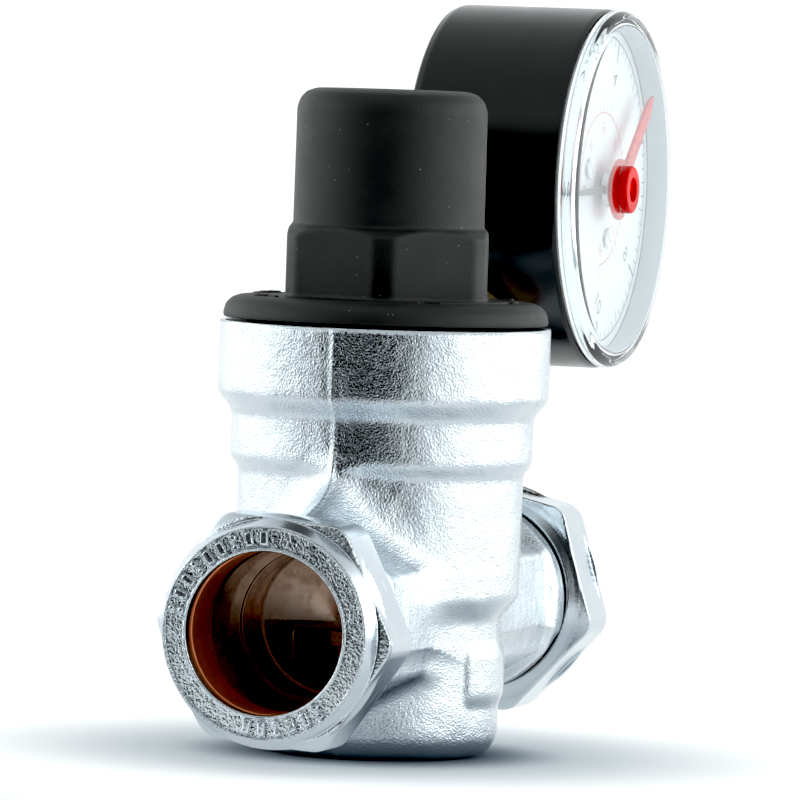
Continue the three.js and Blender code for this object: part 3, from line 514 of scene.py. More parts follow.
def face_out(mesh):
    work = bmesh.new()
    work.from_mesh(mesh)
    bmesh.ops.remove_doubles(work, verts=work.verts, dist=1e-7)
    bmesh.ops.recalc_face_normals(work, faces=work.faces)
    work.to_mesh(mesh)
    work.free()


def along_pipe(side):
    """Turned shapes about the pipe axis, with the along value counted outwards."""
    return lambda p: np.stack([side * p[:, 2], p[:, 0], p[:, 1] + PIPE_Z], axis=1)


def in_gauge(points):
    """From the gauge's upright frame (x right, z up, dial towards -y) to the row frame."""
    c, s = cos(GAUGE_TURN), sin(GAUGE_TURN)
    x, y, z = np.asarray(points, float).T
    return np.stack([x * c + z * s, y, -x * s + z * c], axis=1) + GAUGE_AT


def about_dial(points):
    """Turned shapes about the dial axis; the along value is y."""
    return in_gauge(np.stack([points[:, 0], points[:, 2], points[:, 1]], axis=1))


# ---- Valve body
BODY_PROFILE = SoftProfile(
    [(0, 0), (14.6, 0), (16.5, 0.9), (17.5, 2.8), (17.6, 4.6), (17.6, 19.6), (20.05, 22.7), (20.1, 39.7),
     (21.3, 41.4), (21.3, 47.8), (23.33, 50.3), (23.33, 64), (0, 64)],
    0.5,
)
CHAMBER_PROFILE = SoftProfile(
    [(0, 6), (11.5, 6), (11.5, 19), (10, 19), (10, 22), (11.5, 22), (11.5, 36), (15.5, 36), (15.5, LEDGE_Z),
     (19.5, LEDGE_Z), (19.5, 70), (0, 70)],
    0.12,
)
ARM_APOTHEM = 12.12
ARM_SHOULDER_R = 13.7
WEB_START_X, WEB_START_Z, WEB_END_Z = 16.5, 42.5, 33.2
WEB_HALF_WIDTH = 11.0
PAD_R = 18.3
PAD_Z, PAD_HALF_HEIGHT = 12.0, 4.3
PAD_HALF_ANGLE = radians(26)
BOSS_R, BOSS_THREAD_R = 8.5, 6.75
LOW_WAY = {"centre": (-7.1, 0, 13.2), "half": (7.7, 7.5, 4.8)}
HIGH_WAY = {"centre": (7.1, 0, 25.7), "half": (7.7, 7.5, 2.8)}


def arm_end(port):
    """Where the forging of an arm stops, just behind its nut."""
    return port["face"] - NUT_DEPTH - 0.3


def arm_field(x, y, z, port):
    """Spanner hexagon and round shoulder of one arm."""
    along, end = port["side"] * x, arm_end(port)
    hexed = hexagon(z - PIPE_Z, y, ARM_APOTHEM, 1.3)
    hexed = smooth_max(smooth_max(hexed, along - (end - 3.8), 1.2), 6 - along, 1.0)
    radial = np.hypot(y, z - PIPE_Z)
    return smooth_min(hexed, capped(radial, along, ARM_SHOULDER_R, end - 5, end, 1.2), 1.8)


def web_field(x, y, z, port):
    """The forged ridge that runs down from the neck to the top of an arm."""
    along = port["side"] * x
    far = port["face"] - NUT_DEPTH - 3.5
    slope = (WEB_END_Z - WEB_START_Z) / (far - WEB_START_X)
    top = WEB_START_Z + slope * (along - WEB_START_X)
    over = (z - top) / hypot(1, slope)
    half_width = smooth_min(0.6 + 0.6 * (top - z), WEB_HALF_WIDTH, 2.0)
    ridge = smooth_max(over, (np.abs(y) - half_width) * 0.86, 2.6)
    ridge = smooth_max(ridge, along - far, 2.5)
    return np.maximum(ridge, np.maximum(10 - along, 18 - z))


def pad_field(x, y, z):
    """The low raised panel on each side of the foot."""
    radius = np.hypot(x, y)
    spread = (np.abs(np.arctan2(x, np.abs(y))) - PAD_HALF_ANGLE) * 17.5
    patch = smooth_max(radius - PAD_R, spread, 0.9)
    return smooth_max(patch, np.abs(z - PAD_Z) - PAD_HALF_HEIGHT, 2.2)


def gauge_line(x, z):
    """Distances along and off the line of the gauge stem, from the gauge centre."""
    dx, dz = x - GAUGE_AT[X], z - GAUGE_AT[Z]
    return -(dx + dz) / sqrt(2), (dx - dz) / sqrt(2)


def forging_field(x, y, z):
    """The outside of the forging, with a slight waviness and a raised parting line at y = 0."""
    radius = np.hypot(x, y)
    d = BODY_PROFILE(radius, z)
    for port in (INLET, OUTLET):
        d = smooth_min(d, arm_field(x, y, z, port), 2.6)
        d = smooth_min(d, web_field(x, y, z, port), 5.0)
    d = smooth_min(d, pad_field(x, y, z), 0.8)
    along, off = gauge_line(x, z)
    d = smooth_min(d, capped(np.hypot(off, y), along, BOSS_R, BOSS_MOUTH, BOSS_MOUTH + 24, 0.8), 3.0)
    wave = np.sin(0.43 * x + 0.31 * z + 1.0) * np.sin(0.37 * z - 0.52 * y) + np.sin(0.61 * y + 0.23 * x)
    parting = np.exp(-((y / 0.42) ** 2))
    return d - 0.035 * wave - 0.17 * parting


def body_field(x, y, z):
    """The forging less its hollows. The upper half of each tube way ends early, in a dished wall."""
    radius = np.hypot(x, y)
    d = smooth_max(forging_field(x, y, z), z - COLLAR_TOP_Z, 0.5)
    d = np.maximum(d, -z)
    d = smooth_max(d, -CHAMBER_PROFILE(radius, z), 0.3)
    pipe = np.hypot(y, z - PIPE_Z)
    for port in (INLET, OUTLET):
        along = port["side"] * x
        d = smooth_max(d, along - arm_end(port), 0.4)
        step = port["face"] - TUBE_STOP_DEPTH + 0.4
        bore = np.where(along > step, 11.6, 10.3)
        wall = port["face"] - PORT_STEP_DEPTH - 1.4 + 0.14 * pipe
        end_at = np.where(z > PIPE_Z - 0.4, wall, PORT_END_X)
        d = smooth_max(d, -np.maximum(pipe - bore, end_at - along), 0.15)
    ways = [box_field(x, y, z, way["centre"], way["half"], 0.5) for way in (LOW_WAY, HIGH_WAY)]
    d = smooth_max(d, -np.minimum(*ways), 0.3)
    along, off = gauge_line(x, z)
    radial = np.hypot(off, y)
    d = smooth_max(d, -np.maximum(radial - BOSS_THREAD_R, along - BOSS_MOUTH - 11), 0.4)
    return smooth_max(d, -np.maximum(radial - 2, along - BOSS_MOUTH - 30), 0.2)


def body_forged(x, y, z):
    """1 on the as-forged skin, fading to 0 on machined faces."""
    skin = np.clip(1 - (np.abs(forging_field(x, y, z)) - 0.12) / 0.2, 0, 1)
    top = np.clip((COLLAR_TOP_Z - 0.3 - z) / 0.3, 0, 1)
    return skin * top


def make_body():
    """The forging, brass where it is machined inside, and held to the box of its CAD node."""
    mesh = field_mesh("body_forging", body_field, (-38, -24, 0), (49, 24, 61.5), 0.4, body_forged)
    mesh.materials.append(FORGED_CHROME)
    mesh.materials.append(BORE_BRASS)
    centres = np.zeros(len(mesh.polygons) * 3)
    mesh.polygons.foreach_get("center", centres)
    centres = centres.reshape(-1, 3) / MM
    machined = body_forged(*centres.T) < 0.5
    inside = (np.hypot(centres[:, 0], centres[:, 1]) < 20) & (centres[:, 2] > 5) & machined
    bored = (np.hypot(centres[:, 1], centres[:, 2] - PIPE_Z) < 12.0) & machined
    mesh.polygons.foreach_set("material_index", (inside | bored).astype(np.int32))
    low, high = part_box("valve_body")
    points = np.zeros(len(mesh.vertices) * 3)
    mesh.vertices.foreach_get("co", points)
    mesh.vertices.foreach_set("co", np.clip(points.reshape(-1, 3), low, high).ravel())
    link(mesh, None, ["valve_body"])


def make_spigot(port):
    """The threaded end of an arm, with its socket, tube stop, bore and the edges of both steps, whose pale
    colour is a painted glint.
    """
    face = port["face"]
    mouth, stop, step = face - MOUTH_DEPTH, face - TUBE_STOP_DEPTH, face - PORT_STEP_DEPTH
    shoulder = face - NUT_DEPTH - 0.2
    end = PORT_END_X + 0.1
    outside = [(12.35, mouth), (12.35, shoulder), (11.5, shoulder), (11.5, stop + 0.6), (10.4, stop + 0.6)]
    outline = [
        (BORE_R, end), (BORE_R, step), (STOP_R, step), (STOP_R, stop), (SOCKET_R, stop),
        (SOCKET_R, mouth - 1.6), (12.3, mouth), *outside, (10.4, end),
    ]
    place = along_pipe(port["side"])
    link(turned(port["word"] + "_socket", outline, place, 192, 0.09), BORE_BRASS)
    # Thin rings at both steps: the edges are real, but their pale colour is a painted glint.
    for number, (radius, at) in enumerate(((SOCKET_R, stop), (STOP_R, step))):
        crest, skin, foot = radius - 0.22, radius - 0.06, radius + 0.05
        glint_ring = [(crest, at), (foot, at - 0.02), (foot, at + 0.24), (skin, at + 0.24)]
        name = port["word"] + "_painted_glint_edge_" + str(number + 1)
        link(turned(name, glint_ring, place, 192, 0), PAINTED_GLINT_EDGE)
    make_thread(port["word"] + "_thread", port["side"], shoulder, mouth - 0.1)


def make_thread(name, side, low, high):
    """A right-hand helical thread on the outside of the spigot."""
    sides, steps = 128, int((high - low) / 0.09)
    angles = np.arange(sides + 1) * TAU / sides
    along = np.linspace(low, high, steps + 1)
    a, h = np.meshgrid(angles, along, indexing="ij")
    turn = (h - side * THREAD_PITCH * a / TAU) / THREAD_PITCH
    tooth = 1 - np.abs(2 * (turn - np.floor(turn)) - 1)
    fade = np.clip(np.minimum(h - low, high - h) / 0.5, 0, 1)
    radius = 12.3 + (0.05 + 0.85 * np.clip(tooth * 1.15, 0, 1)) * fade
    points = np.stack([radius * np.cos(a), radius * np.sin(a), h], axis=2).reshape(-1, 3)
    faces = []
    for i in range(sides):
        for k in range(steps):
            first = i * (steps + 1) + k
            faces.append((first, first + steps + 1, first + steps + 2, first + 1))
    mesh = mesh_from(name, along_pipe(side)(points), faces, 60)
    face_out(mesh)
    link(mesh, NUT_CHROME)


# ---- Compression nuts and olives
NUT_BORE = SoftProfile(
    [(0, -4), (SOCKET_R, -4), (SOCKET_R, 1.7), (13.6, 4), (13.6, 18), (0, 18)],
    0.15,
)
NUT_APOTHEM = 15.55
NUT_NOSE_R = 14.5
NUT_RING_R = 15.5
NUT_SHOULDER_R = 15.4
FACE_MIDDLE_R, FACE_HALF_WIDTH, FACE_DEPTH = 12.95, 1.35, 0.55


def nut_marks(y, z):
    """Plain raised bars and pairs of dots in two arcs on the nut's face, as a distance in its plane."""
    angle, radius = np.arctan2(z, y), np.hypot(y, z)
    nearest = np.full(np.shape(y), 9.0)
    for start, count in ((radians(12), 9), (radians(-128), 6)):
        for i in range(count):
            off = angle - start - i * radians(9.5)
            side = radius * np.sin(off)
            ahead = np.where(np.cos(off) > 0, radius * np.cos(off), -9)
            bar = np.maximum(np.abs(side) - 0.55, np.abs(ahead - FACE_MIDDLE_R) - 1.0)
            dots = np.hypot(side, np.abs(ahead - FACE_MIDDLE_R) - 0.68) - 0.46
            nearest = np.minimum(nearest, bar if i % 3 else dots)
    return nearest


def nut_field(port):
    c, s = cos(port["turn"]), sin(port["turn"])

    def field(x, y, z):
        depth = port["face"] - port["side"] * x
        up = z - PIPE_Z
        radial = np.hypot(y, up)
        sides = hexagon(y * c + up * s, -y * s + up * c, NUT_APOTHEM, 3.2)
        hexed = smooth_max(sides, np.abs(depth - 7.6) - 4.9, 0.45)
        off_centre = np.hypot(y - port["chamfer"][0], up - port["chamfer"][1])
        hexed = smooth_max(hexed, (off_centre - port["chamfer"][2] - (depth - 2.7)) * 0.7, 0.5)
        hexed = smooth_max(hexed, (depth - 12.5) * 0.97 + (radial - NUT_SHOULDER_R) * 0.25, 0.2)
        nose = smooth_max((radial - NUT_NOSE_R - 0.36 * depth) * 0.94, np.abs(depth - 2.4) - 2.4, 0.3)
        ring = smooth_max(radial - NUT_RING_R, np.abs(depth - 11.3) - 2.0, 0.15)
        ring = smooth_max(ring, (depth - 12.45) * 0.9 + (radial - NUT_SHOULDER_R) * 0.44, 0.15)
        d = smooth_min(smooth_min(hexed, nose, 0.2), ring, 0.2)
        band = np.abs(radial - FACE_MIDDLE_R) - FACE_HALF_WIDTH
        recess = np.maximum(band, -nut_marks(port["side"] * -y, up))
        d = smooth_max(d, -smooth_max(recess, depth - FACE_DEPTH, 0.2), 0.2)
        return smooth_max(d, -NUT_BORE(radial, depth), 0.35)

    return field


def nut_forged(port):
    def forged(x, y, z):
        depth = port["face"] - port["side"] * x
        radial = np.hypot(y, z - PIPE_Z)
        face = np.clip((0.75 - depth) / 0.15, 0, 1) * np.clip((14.45 - radial) / 0.15, 0, 1)
        face *= np.clip(nut_marks(port["side"] * -y, z - PIPE_Z) / 0.15 + 0.3, 0.15, 1)
        end_face = np.clip((radial - NUT_APOTHEM) / 0.15, 0, 1) * np.clip((3.05 - depth) / 0.25, 0, 1)
        out = np.clip((radial - 11.5) / 0.2, 0, 1)
        return np.maximum(np.maximum(face, end_face), 0.06) * out

    return forged


def make_nut(port):
    name = port["word"] + "_nut"
    ends = sorted((port["side"] * port["face"], port["side"] * (port["face"] - NUT_DEPTH)))
    low, high = (ends[0], -18, PIPE_Z - 18), (ends[1], 18, PIPE_Z + 18)
    mesh = field_mesh(name + "_plated", nut_field(port), low, high, 0.27, nut_forged(port))
    link(mesh, NUT_CHROME, [name], name)


def make_olive(port):
    name = port["word"] + "_olive"
    near, far = port["face"] - MOUTH_DEPTH + 0.3, port["face"] - 2.8
    inside, outside = SOCKET_R, extent(name, Y)[1]
    tapered = [(inside + 0.6, near), (outside, near + 2), (outside, far - 2), (inside + 0.6, far)]
    outline = [(inside, near), *tapered, (inside, far)]
    mesh = turned(name + "_ring", outline, along_pipe(port["side"]), 160, 0.35)
    link(mesh, COPPER, [name], name + "_carrier")


# ---- Spring housing
FLANGE_PROFILE = SoftProfile(
    [(0, 52), (19.2, 52), (19.2, 60.8), (22.9, 60.8), (22.9, 61.6), (22.55, 62.8), (21.7, 63.6),
     (20.6, 64.0), (0, 64.0)],
    0.22,
)
CAP_PROFILE = SoftProfile(
    [(0, 66), (13.5, 66), (13.4, 90.6), (13.0, 91.9), (12.1, 92.9), (10.6, 93.4), (0, 93.4)],
    0.3,
)
HOUSING_INSIDE = SoftProfile(
    [(0, 40), (16.2, 40), (16.2, 58.5), (11.8, 62.5), (11.4, 89.4), (5, 89.4), (5, 92.8), (5.6, 93.4),
     (5.6, 99), (0, 99)],
    0.1,
)
HOUSING_TURN = radians(-14.5)
HOUSING_APOTHEM, HOUSING_CORNER_R = 14.0, 15.4
MARK_R = 18.6


def turn_marks(x, y):
    """Raised plus, minus and curved arrows on the flange: generic adjusting marks."""
    angle, radius = np.arctan2(y, x), np.hypot(x, y)
    nearest = np.full(np.shape(x), 9.0)
    for centre in (radians(-118), radians(108)):
        for offset, upright in ((-0.55, True), (0.55, False)):
            off = radius * np.sin(angle - centre - offset)
            out = radius * np.cos(angle - centre - offset) - MARK_R
            bar = np.maximum(np.abs(off) - 1.1, np.abs(out) - 0.28)
            post = np.maximum(np.abs(out) - 1.1, np.abs(off) - 0.28)
            mark = np.minimum(bar, post) if upright else bar
            nearest = np.minimum(nearest, mark)
        swept = np.abs((angle - centre + pi) % TAU - pi)
        arc = np.maximum(np.abs(radius - MARK_R) - 0.3, (swept - 0.38) * MARK_R)
        tip = radius * np.sin(angle - centre - 0.38)
        head = np.maximum(np.abs(radius - MARK_R) + 0.7 * tip - 0.95, -tip - 0.3)
        nearest = np.minimum(nearest, np.minimum(arc, head))
    return nearest


def housing_field(x, y, z):
    radius = np.hypot(x, y)
    flange = FLANGE_PROFILE(radius, z)
    marks = smooth_max(turn_marks(x, y), np.abs(z - 63.9) - 0.42, 0.2)
    c, s = cos(pi / 2 + HOUSING_TURN), sin(pi / 2 + HOUSING_TURN)
    flats = hexagon(x * c + y * s, -x * s + y * c, HOUSING_APOTHEM, 0.4)
    proud = radius - HOUSING_CORNER_R
    prism = smooth_max(smooth_max(flats, proud, 0.25), np.abs(z - 68) - 6, 0.5)
    prism = smooth_max(prism, proud * 0.618 + (z - 72.9) * 0.786, 0.3)
    d = smooth_min(flange, marks, 0.25)
    d = smooth_min(d, prism, 0.7)
    d = smooth_min(d, CAP_PROFILE(radius, z), 0.7)
    return smooth_max(d, -HOUSING_INSIDE(radius, z), 0.3)


def make_housing():
    mesh = field_mesh("housing_moulding", housing_field, (-23, -23, 52), (23, 23, 93.5), 0.36)
    link(mesh, BLACK_NYLON, ["spring_housing"])


# ---- Gauge
def make_case():
    back, front, bore = CASE_BACK_Y, CASE_FRONT_Y, CASE_BORE_R
    floor = back - 1.6
    outside = [(CASE_R - 1.6, back), (CASE_R - 0.45, back - 0.45), (CASE_R, floor), (CASE_R, front + 0.6)]
    rim = [(CASE_R - 0.25, front), (bore + 0.2, front), (bore, front + 0.3)]
    outline = [(0.01, back), *outside, *rim, (bore, DIAL_Y + 0.9), (bore, floor), (0.01, floor)]
    mesh = turned("case_shell", outline, about_dial, 256, 0.3)
    link(mesh, BLACK_CASE, ["gauge_case"])
    inside, foot = DIAL_R - 0.25, DIAL_Y - 0.1
    lining = [(DIAL_R, WINDOW_BACK_Y), (DIAL_R, foot), (inside, foot), (inside, WINDOW_BACK_Y)]

    def tall_on_one_side(points):
        """The lining stands up to the window on the far side and only to the case rim on the near one."""
        toward_far = np.cos(np.arctan2(points[:, 1], points[:, 0]) - GAUGE_TURN)
        rim = WINDOW_BACK_Y + np.clip(0.3 - toward_far, 0, 0.4) * 5
        points = points.copy()
        points[:, 2] = np.maximum(points[:, 2], rim)
        return about_dial(points)

    link(turned("case_lining_ring", lining, tall_on_one_side, 192, 0.05), CASE_LINING)


def make_window():
    rim, back, front = CASE_R - 0.1, WINDOW_BACK_Y, WINDOW_FRONT_Y
    seat = CASE_FRONT_Y - 0.3
    hole = 3.1
    outside = [(rim - 1.6, front), (rim - 0.5, front + 0.4), (rim, front + 1.4), (rim, seat)]
    outline = [(hole, front), *outside, (WINDOW_SPIGOT_R, seat), (WINDOW_SPIGOT_R, back), (hole, back)]
    mesh = turned("window_moulding", outline, about_dial, 256, 0.5)
    link(mesh, CLEAR, ["gauge_window"])


def scale_angle(value, full):
    """Angle clockwise from up, in the upright gauge, of a value on a scale that ends at full."""
    return SCALE_START + SCALE_SWEEP * value / full


def tick(points, faces, angle, inner, outer, half_width, y):
    """Adds one flat radial mark that faces -y."""
    out = np.array([sin(angle), 0, cos(angle)])
    side = np.array([cos(angle), 0, -sin(angle)])
    first = len(points)
    for radius, share in ((inner, -1), (inner, 1), (outer, 1), (outer, -1)):
        points.append(out * radius + side * (share * half_width) + np.array([0, y, 0]))
    faces.append((first, first + 1, first + 2, first + 3))


def arc_band(points, faces, inner, outer, start, end, y, steps=120):
    for i in range(steps):
        first = len(points)
        for angle, radius in ((i, inner), (i + 1, inner), (i + 1, outer), (i, outer)):
            a = start + (end - start) * angle / steps
            points.append(np.array([radius * sin(a), y, radius * cos(a)]))
        faces.append((first, first + 1, first + 2, first + 3))


def numeral(text, size, angle, radius, y):
    """Points and faces of a number on the dial."""
    curve = bpy.data.curves.new("numeral", "FONT")
    curve.body = text
    curve.size = size
    curve.align_x = "CENTER"
    curve.align_y = "CENTER"
    letters = bpy.data.objects.new("numeral", curve)
    mesh = bpy.data.meshes.new_from_object(letters)
    points = [np.array([v.co.x, y, v.co.y]) for v in mesh.vertices]
    centre = np.array([radius * sin(angle), 0, radius * cos(angle)])
    points = [p + centre for p in points]
    faces = [tuple(p.vertices) for p in mesh.polygons]
    bpy.data.objects.remove(letters)
    bpy.data.meshes.remove(mesh)
    bpy.data.curves.remove(curve)
    return points, faces


def printed(name, parts, material):
    points, faces = [], []
    for part_points, part_faces in parts:
        first = len(points)
        points += part_points
        faces += [tuple(first + i for i in face) for face in part_faces]
    link(mesh_from(name, in_gauge(np.array(points)), faces), material)


def make_dial():
    back, front = DIAL_Y + 0.6, DIAL_Y
    hole = 1.4
    outline = [(hole, front), (24.1, front), (DIAL_R, front + 0.2), (DIAL_R, back), (hole, back)]
    mesh = turned("dial_plate", outline, about_dial, 192, 0.1)
    link(mesh, DIAL_WHITE, ["gauge_dial"])
    y = DIAL_Y - 0.02
    black_points, black_faces = [], []
    for i in range(51):
        length = 3.2 if i % 10 == 0 else (2.3 if i % 5 == 0 else 1.4)
        width = 0.22 if i % 10 == 0 else 0.1
        tick(black_points, black_faces, scale_angle(i, 50), 22.6 - length, 22.6, width, y)
    arc_band(black_points, black_faces, 22.45, 22.7, scale_angle(0, 1), scale_angle(1, 1), y)
    numbers = [numeral(str(2 * i), 3.6, scale_angle(i, 5), 16.9, y) for i in range(6)]
    printed("dial_print_black", [(black_points, black_faces)] + numbers, BLACK_INK)
    red_points, red_faces = [], []
    for i in range(31):
        length = 1.9 if i % 5 == 0 else 1.1
        tick(red_points, red_faces, scale_angle(i, 30), 11.2, 11.2 + length, 0.1, y)
    arc_band(red_points, red_faces, 11.1, 11.3, scale_angle(0, 1), scale_angle(1, 1), y)
    numbers = [numeral(str(25 * i), 1.9, scale_angle(i, 6), 8.9, y) for i in range(7)]
    printed("dial_print_red", [(red_points, red_faces)] + numbers, RED_INK)


def hand_mesh(name, outline, y, thickness, angle):
    """A thin tapered hand with softened edges, drawn pointing up and turned clockwise by angle."""
    work = bmesh.new()
    verts = [work.verts.new((px, y, pz)) for px, pz in outline]
    face = work.faces.new(verts)
    pulled = bmesh.ops.extrude_face_region(work, geom=[face])
    moved = [v for v in pulled["geom"] if isinstance(v, bmesh.types.BMVert)]
    bmesh.ops.translate(work, verts=moved, vec=(0, thickness, 0))
    bmesh.ops.recalc_face_normals(work, faces=work.faces)
    bmesh.ops.bevel(work, geom=work.edges[:], offset=0.1, segments=2, affect="EDGES", clamp_overlap=True)
    points = np.array([v.co for v in work.verts], float)
    work.verts.ensure_lookup_table()
    faces = [tuple(v.index for v in f.verts) for f in work.faces]
    work.free()
    c, s = cos(angle), sin(angle)
    across, deep, up = points.T
    placed = in_gauge(np.stack([across * c + up * s, deep, -across * s + up * c], 1))
    return mesh_from(name, placed, faces, 30)


def make_pointer():
    outline = [(-1.1, -6.5), (1.1, -6.5), (0.75, 0), (0.28, 17.0), (0, 17.5), (-0.28, 17.0), (-0.75, 0)]
    mesh = hand_mesh("pointer_blade", outline, -13.9, 0.5, scale_angle(0, 1) - radians(2))
    link(mesh, POINTER_BLACK, ["gauge_pointer"], "pointer")
    front, back = extent("gauge_pointer", Y)
    hub = [(1.0, front), (2.3, front), (2.7, front + 0.4), (2.7, back), (1.0, back)]
    link(turned("pointer_hub", hub, about_dial, 64, 0.15), STEEL, body="pointer")


def make_set_hand():
    near = WINDOW_BACK_Y + 0.3
    outline = [(-1.45, 4.3), (1.45, 4.3), (1.15, 18.2), (0, 21), (-1.15, 18.2)]
    blade = hand_mesh("set_hand_blade", outline, near, 0.5, SET_ANGLE - GAUGE_TURN)
    link(blade, RED_PLASTIC, ["set_pointer"], "set_hand")

    front = WINDOW_FRONT_Y - 1.2
    c, s = cos(SET_ANGLE - GAUGE_TURN), sin(SET_ANGLE - GAUGE_TURN)

    def field(x, y, z):
        radial = np.hypot(x, z)
        head = capped(radial, y, 3.5, front, WINDOW_FRONT_Y + 0.35, 0.5)
        neck = capped(radial, y, 2.7, front + 1, near + 0.3, 0.1)
        flange = capped(radial, y, 4.5, near, near + 0.7, 0.25)
        d = np.minimum(np.minimum(head, neck), flange)
        d = smooth_max(d, -smooth_max(radial - 1.75, y - front - 0.7, 0.2), 0.3)
        across = x * s + z * c
        slot = np.maximum(np.abs(across) - 0.5, np.maximum(radial - 1.75, y - front - 1.6))
        return smooth_max(d, -slot, 0.15)

    mesh = field_mesh("set_knob_moulding", field, (-4.6, front, -4.6), (4.6, near + 0.8, 4.6), 0.14)
    place_in_gauge(mesh)
    link(mesh, RED_PLASTIC, ["set_knob"], "set_hand")


def place_in_gauge(mesh):
    """Moves a mesh made in the gauge's upright frame to its place, normals included."""
    turn = Euler((0, GAUGE_TURN, 0)).to_matrix()
    normals = [turn @ Vector(n.vector) for n in mesh.vertex_normals]
    mesh.transform(Matrix.Translation(Vector(GAUGE_AT * MM)) @ turn.to_4x4())
    mesh.normals_split_custom_set_from_vertices([tuple(n) for n in normals])


def make_stem():
    """The brass stem between the gauge case and the boss on the body."""
    hex_top, hex_face, corner = 27.7, BOSS_MOUTH - 1.8, 7.7
    pitch = THREAD_PITCH * 0.72

    def field(x, y, z):
        along = -z
        radial = np.hypot(x, y)
        flats = hexagon(y, x, 7.0, 0.15)
        nut = smooth_max(flats, np.abs(along - (hex_face + hex_top) / 2) - (hex_face - hex_top) / 2, 0.2)
        nut = smooth_max(nut, (radial - corner - (hex_face - along) * 1.7) * 0.5, 0.2)
        nut = smooth_max(nut, (radial - corner - (along - hex_top) * 1.7) * 0.5, 0.2)
        neck = capped(radial, along, 5.2, 22, hex_face - 1, 0.3)
        turn = (along - pitch * np.arctan2(y, x) / TAU) / pitch
        tooth = 1 - np.abs(2 * (turn - np.floor(turn)) - 1)
        thread = capped(radial, along, 5.75 + 0.65 * tooth, BOSS_MOUTH, BOSS_MOUTH + 9.5, 0.6) * 0.8
        root = capped(radial, along, 5.6, hex_face - 1, BOSS_MOUTH + 9.5, 0.3)
        d = smooth_min(smooth_min(nut, neck, 0.4), np.minimum(thread, root), 0.1)
        return smooth_max(d, -np.maximum(radial - 1.2, 30 - along), 0.2)

    mesh = field_mesh("gauge_stem_turned", field, (-8.2, -8.2, -45), (8.2, 8.2, -21.9), 0.25)
    place_in_gauge(mesh)
    link(mesh, BRASS, ["gauge_stem"])
    low, high = -(BOSS_MOUTH - 0.3), -(BOSS_MOUTH - 1.5)
    washer = turned("sealing_washer", [(6.2, low), (8, low), (8, high), (6.2, high)], in_gauge, 64, 0.2)
    link(washer, FIBRE, ["gauge_washer"])


# ---- Carried-over CAD nodes
def finish_cad_nodes():
    """Every CAD node gets a finished material; the inner ones are seen in their CAD shape."""
    looks = {
        STEEL: "strainer valve_stem lower_spring_plate diaphragm_nut adjusting_screw pinion_shaft "
               "movement_link",
        SPRING_STEEL: "main_spring",
        BRASS: "seat_ring disc_holder disc_nut stem_guide diaphragm_washer slip_ring upper_spring_plate "
               "thrust_washer bourdon_tube movement_frame sector_gear",
        RUBBER: "seat_o_ring valve_disc diaphragm",
        FORGED_CHROME: "valve_body",
        NUT_CHROME: "inlet_nut outlet_nut",
        COPPER: "inlet_olive outlet_olive",
        BLACK_NYLON: "spring_housing",
        BLACK_CASE: "gauge_case",
        CLEAR: "gauge_window",
        DIAL_WHITE: "gauge_dial dial_screw_left dial_screw_right",
        POINTER_BLACK: "gauge_pointer",
        RED_PLASTIC: "set_knob set_pointer",
    }
    for material, names in looks.items():
        for name in names.split():
            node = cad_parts[name]
            node.data.materials.clear()
            node.data.materials.append(material)


# ---- Stage
CAMERA_AT = Vector((-1148.56, -365.50, 104.31)) * MM
CAMERA_YAW = 0.30611
CAMERA_PITCH = -0.04522
CAMERA_ROLL = -0.03308
CAMERA_LENS = 385.47
BACKDROP = rgb(0.955, 0.99, 1.0)
BACKDROP_STRENGTH = 1.12


def make_camera():
    level, rise = cos(CAMERA_PITCH), sin(CAMERA_PITCH)
    forward = Vector((cos(CAMERA_YAW) * level, sin(CAMERA_YAW) * level, rise))
    right = forward.cross(Vector((0, 0, 1))).normalized()
    down = forward.cross(right)
    c, s = cos(CAMERA_ROLL), sin(CAMERA_ROLL)
    right, down = right * c + down * s, down * c - right * s
    data = bpy.data.cameras.new("camera")
    data.lens = CAMERA_LENS
    data.sensor_width = 36
    data.clip_start = 0.05
    data.clip_end = 50
    camera = bpy.data.objects.new("camera", data)
    axes = Matrix((right, -down, -forward)).transposed()
    camera.matrix_world = Matrix.Translation(CAMERA_AT) @ axes.to_4x4()
    bpy.context.scene.collection.objects.link(camera)
    bpy.context.scene.camera = camera


def make_floor():
    """A pale floor that fades into the backdrop away from the valve, and dims in front of its nut. Close
    round the foot its colour darkens into a painted contact shadow.
    """
    material, s = new_material("floor")
    place = s.add("ShaderNodeSeparateXYZ", {0: s.position()})
    across = s.math("POWER", place.outputs["X"], 2.0)
    distance = s.math("SQRT", s.math("ADD", across, s.math("POWER", place.outputs["Y"], 2.0)))
    far = s.ramp(distance, 0.020, 0.068, 0.0, 1.0)
    # Painted contact shadow: the paper colour goes dark close round the foot.
    painted_contact_shadow = s.ramp(distance, 0.015, 0.030)
    shade = s.mix_color(painted_contact_shadow, rgb(0.14, 0.17, 0.20), rgb(0.64, 0.69, 0.72))
    paper = s.add("ShaderNodeBsdfDiffuse", {"Color": shade}).outputs["BSDF"]
    front = s.ramp(place.outputs["X"], -0.19, -0.075, 0.14, 1.0)
    strength = s.math("MULTIPLY", front, BACKDROP_STRENGTH)
    glow = s.add("ShaderNodeEmission", {"Color": BACKDROP, "Strength": strength}).outputs["Emission"]
    s.surface(s.add("ShaderNodeMixShader", {0: far, 1: paper, 2: glow}).outputs[0])
    size = 0.45
    mesh = bpy.data.meshes.new("floor")
    ring = [(size * cos(TAU * i / 96), size * sin(TAU * i / 96), 0) for i in range(96)]
    mesh.from_pydata(ring, [], [tuple(range(96))])
    mesh.materials.append(material)
    floor = bpy.data.objects.new("floor", mesh)
    bpy.context.scene.collection.objects.link(floor)


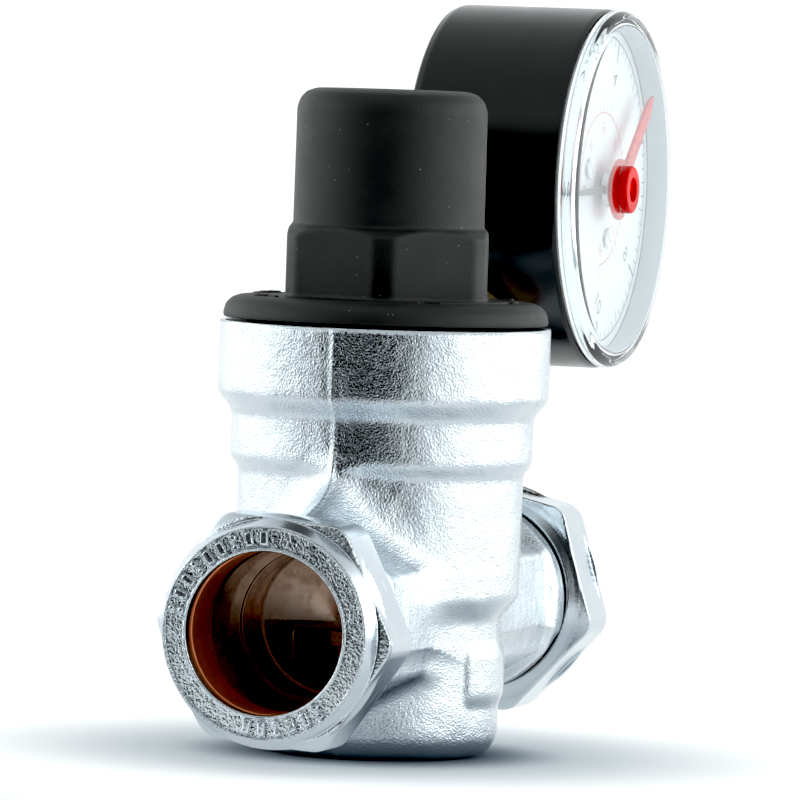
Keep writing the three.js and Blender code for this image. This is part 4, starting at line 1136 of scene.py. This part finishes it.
def make_light():
    """A white studio: pale backdrop, a soft box on each side, and a dark room behind the camera."""
    world = bpy.data.worlds.new("studio")
    bpy.context.scene.world = world
    s = Shader(world)
    direction = s.add("ShaderNodeTexCoord").outputs["Generated"]
    parts = s.add("ShaderNodeSeparateXYZ", {0: direction})
    azimuth = s.math("ARCTAN2", parts.outputs["Y"], parts.outputs["X"])
    height = s.math("ARCSINE", parts.outputs["Z"])

    def off_azimuth(degrees):
        turned_from = s.math("SUBTRACT", azimuth, radians(degrees))
        return s.math("ABSOLUTE", s.math("WRAP", turned_from, pi, -pi))

    def window(value, half, edge):
        return s.ramp(value, radians(half - edge), radians(half + edge), 1.0, 0.0)

    def height_window(middle, half, edge):
        return window(s.math("ABSOLUTE", s.math("SUBTRACT", height, radians(middle))), half, edge)

    def soft_box(strength, middle, half, low, high):
        across = window(off_azimuth(middle), half, 7)
        up = height_window((low + high) / 2, (high - low) / 2, 7)
        return s.math("MULTIPLY", s.math("MULTIPLY", across, up), strength)

    ceiling = s.ramp(height, radians(25), radians(55), BACKDROP_STRENGTH, 0.75)
    dark = s.math("MULTIPLY", window(off_azimuth(184.5), 33.5, 5), height_window(-2, 38, 10))
    room = s.math("MULTIPLY_ADD", s.math("SUBTRACT", 1.0, dark), ceiling, 0.009)
    right_box = soft_box(1.7, 290, 42, -30, 32)
    left_box = soft_box(1.1, 92, 42, -30, 32)
    strength = s.math("ADD", room, s.math("ADD", right_box, left_box))
    glow = s.add("ShaderNodeBackground", {"Color": BACKDROP, "Strength": strength})
    s.add("ShaderNodeOutputWorld", {"Surface": glow.outputs[0]})


def set_view():
    view = bpy.context.scene.view_settings
    view.view_transform = "Standard"
    view.look = "None"
    view.use_curve_mapping = True
    view.curve_mapping.black_level = (0.018, 0.018, 0.018)
    view.curve_mapping.update()


# ---- Everything
make_camera()
make_light()
make_floor()
set_view()
finish_cad_nodes()
make_body()
for end in (INLET, OUTLET):
    make_spigot(end)
    make_nut(end)
    make_olive(end)
make_housing()
make_case()
make_window()
make_dial()
make_pointer()
make_set_hand()
make_stem()
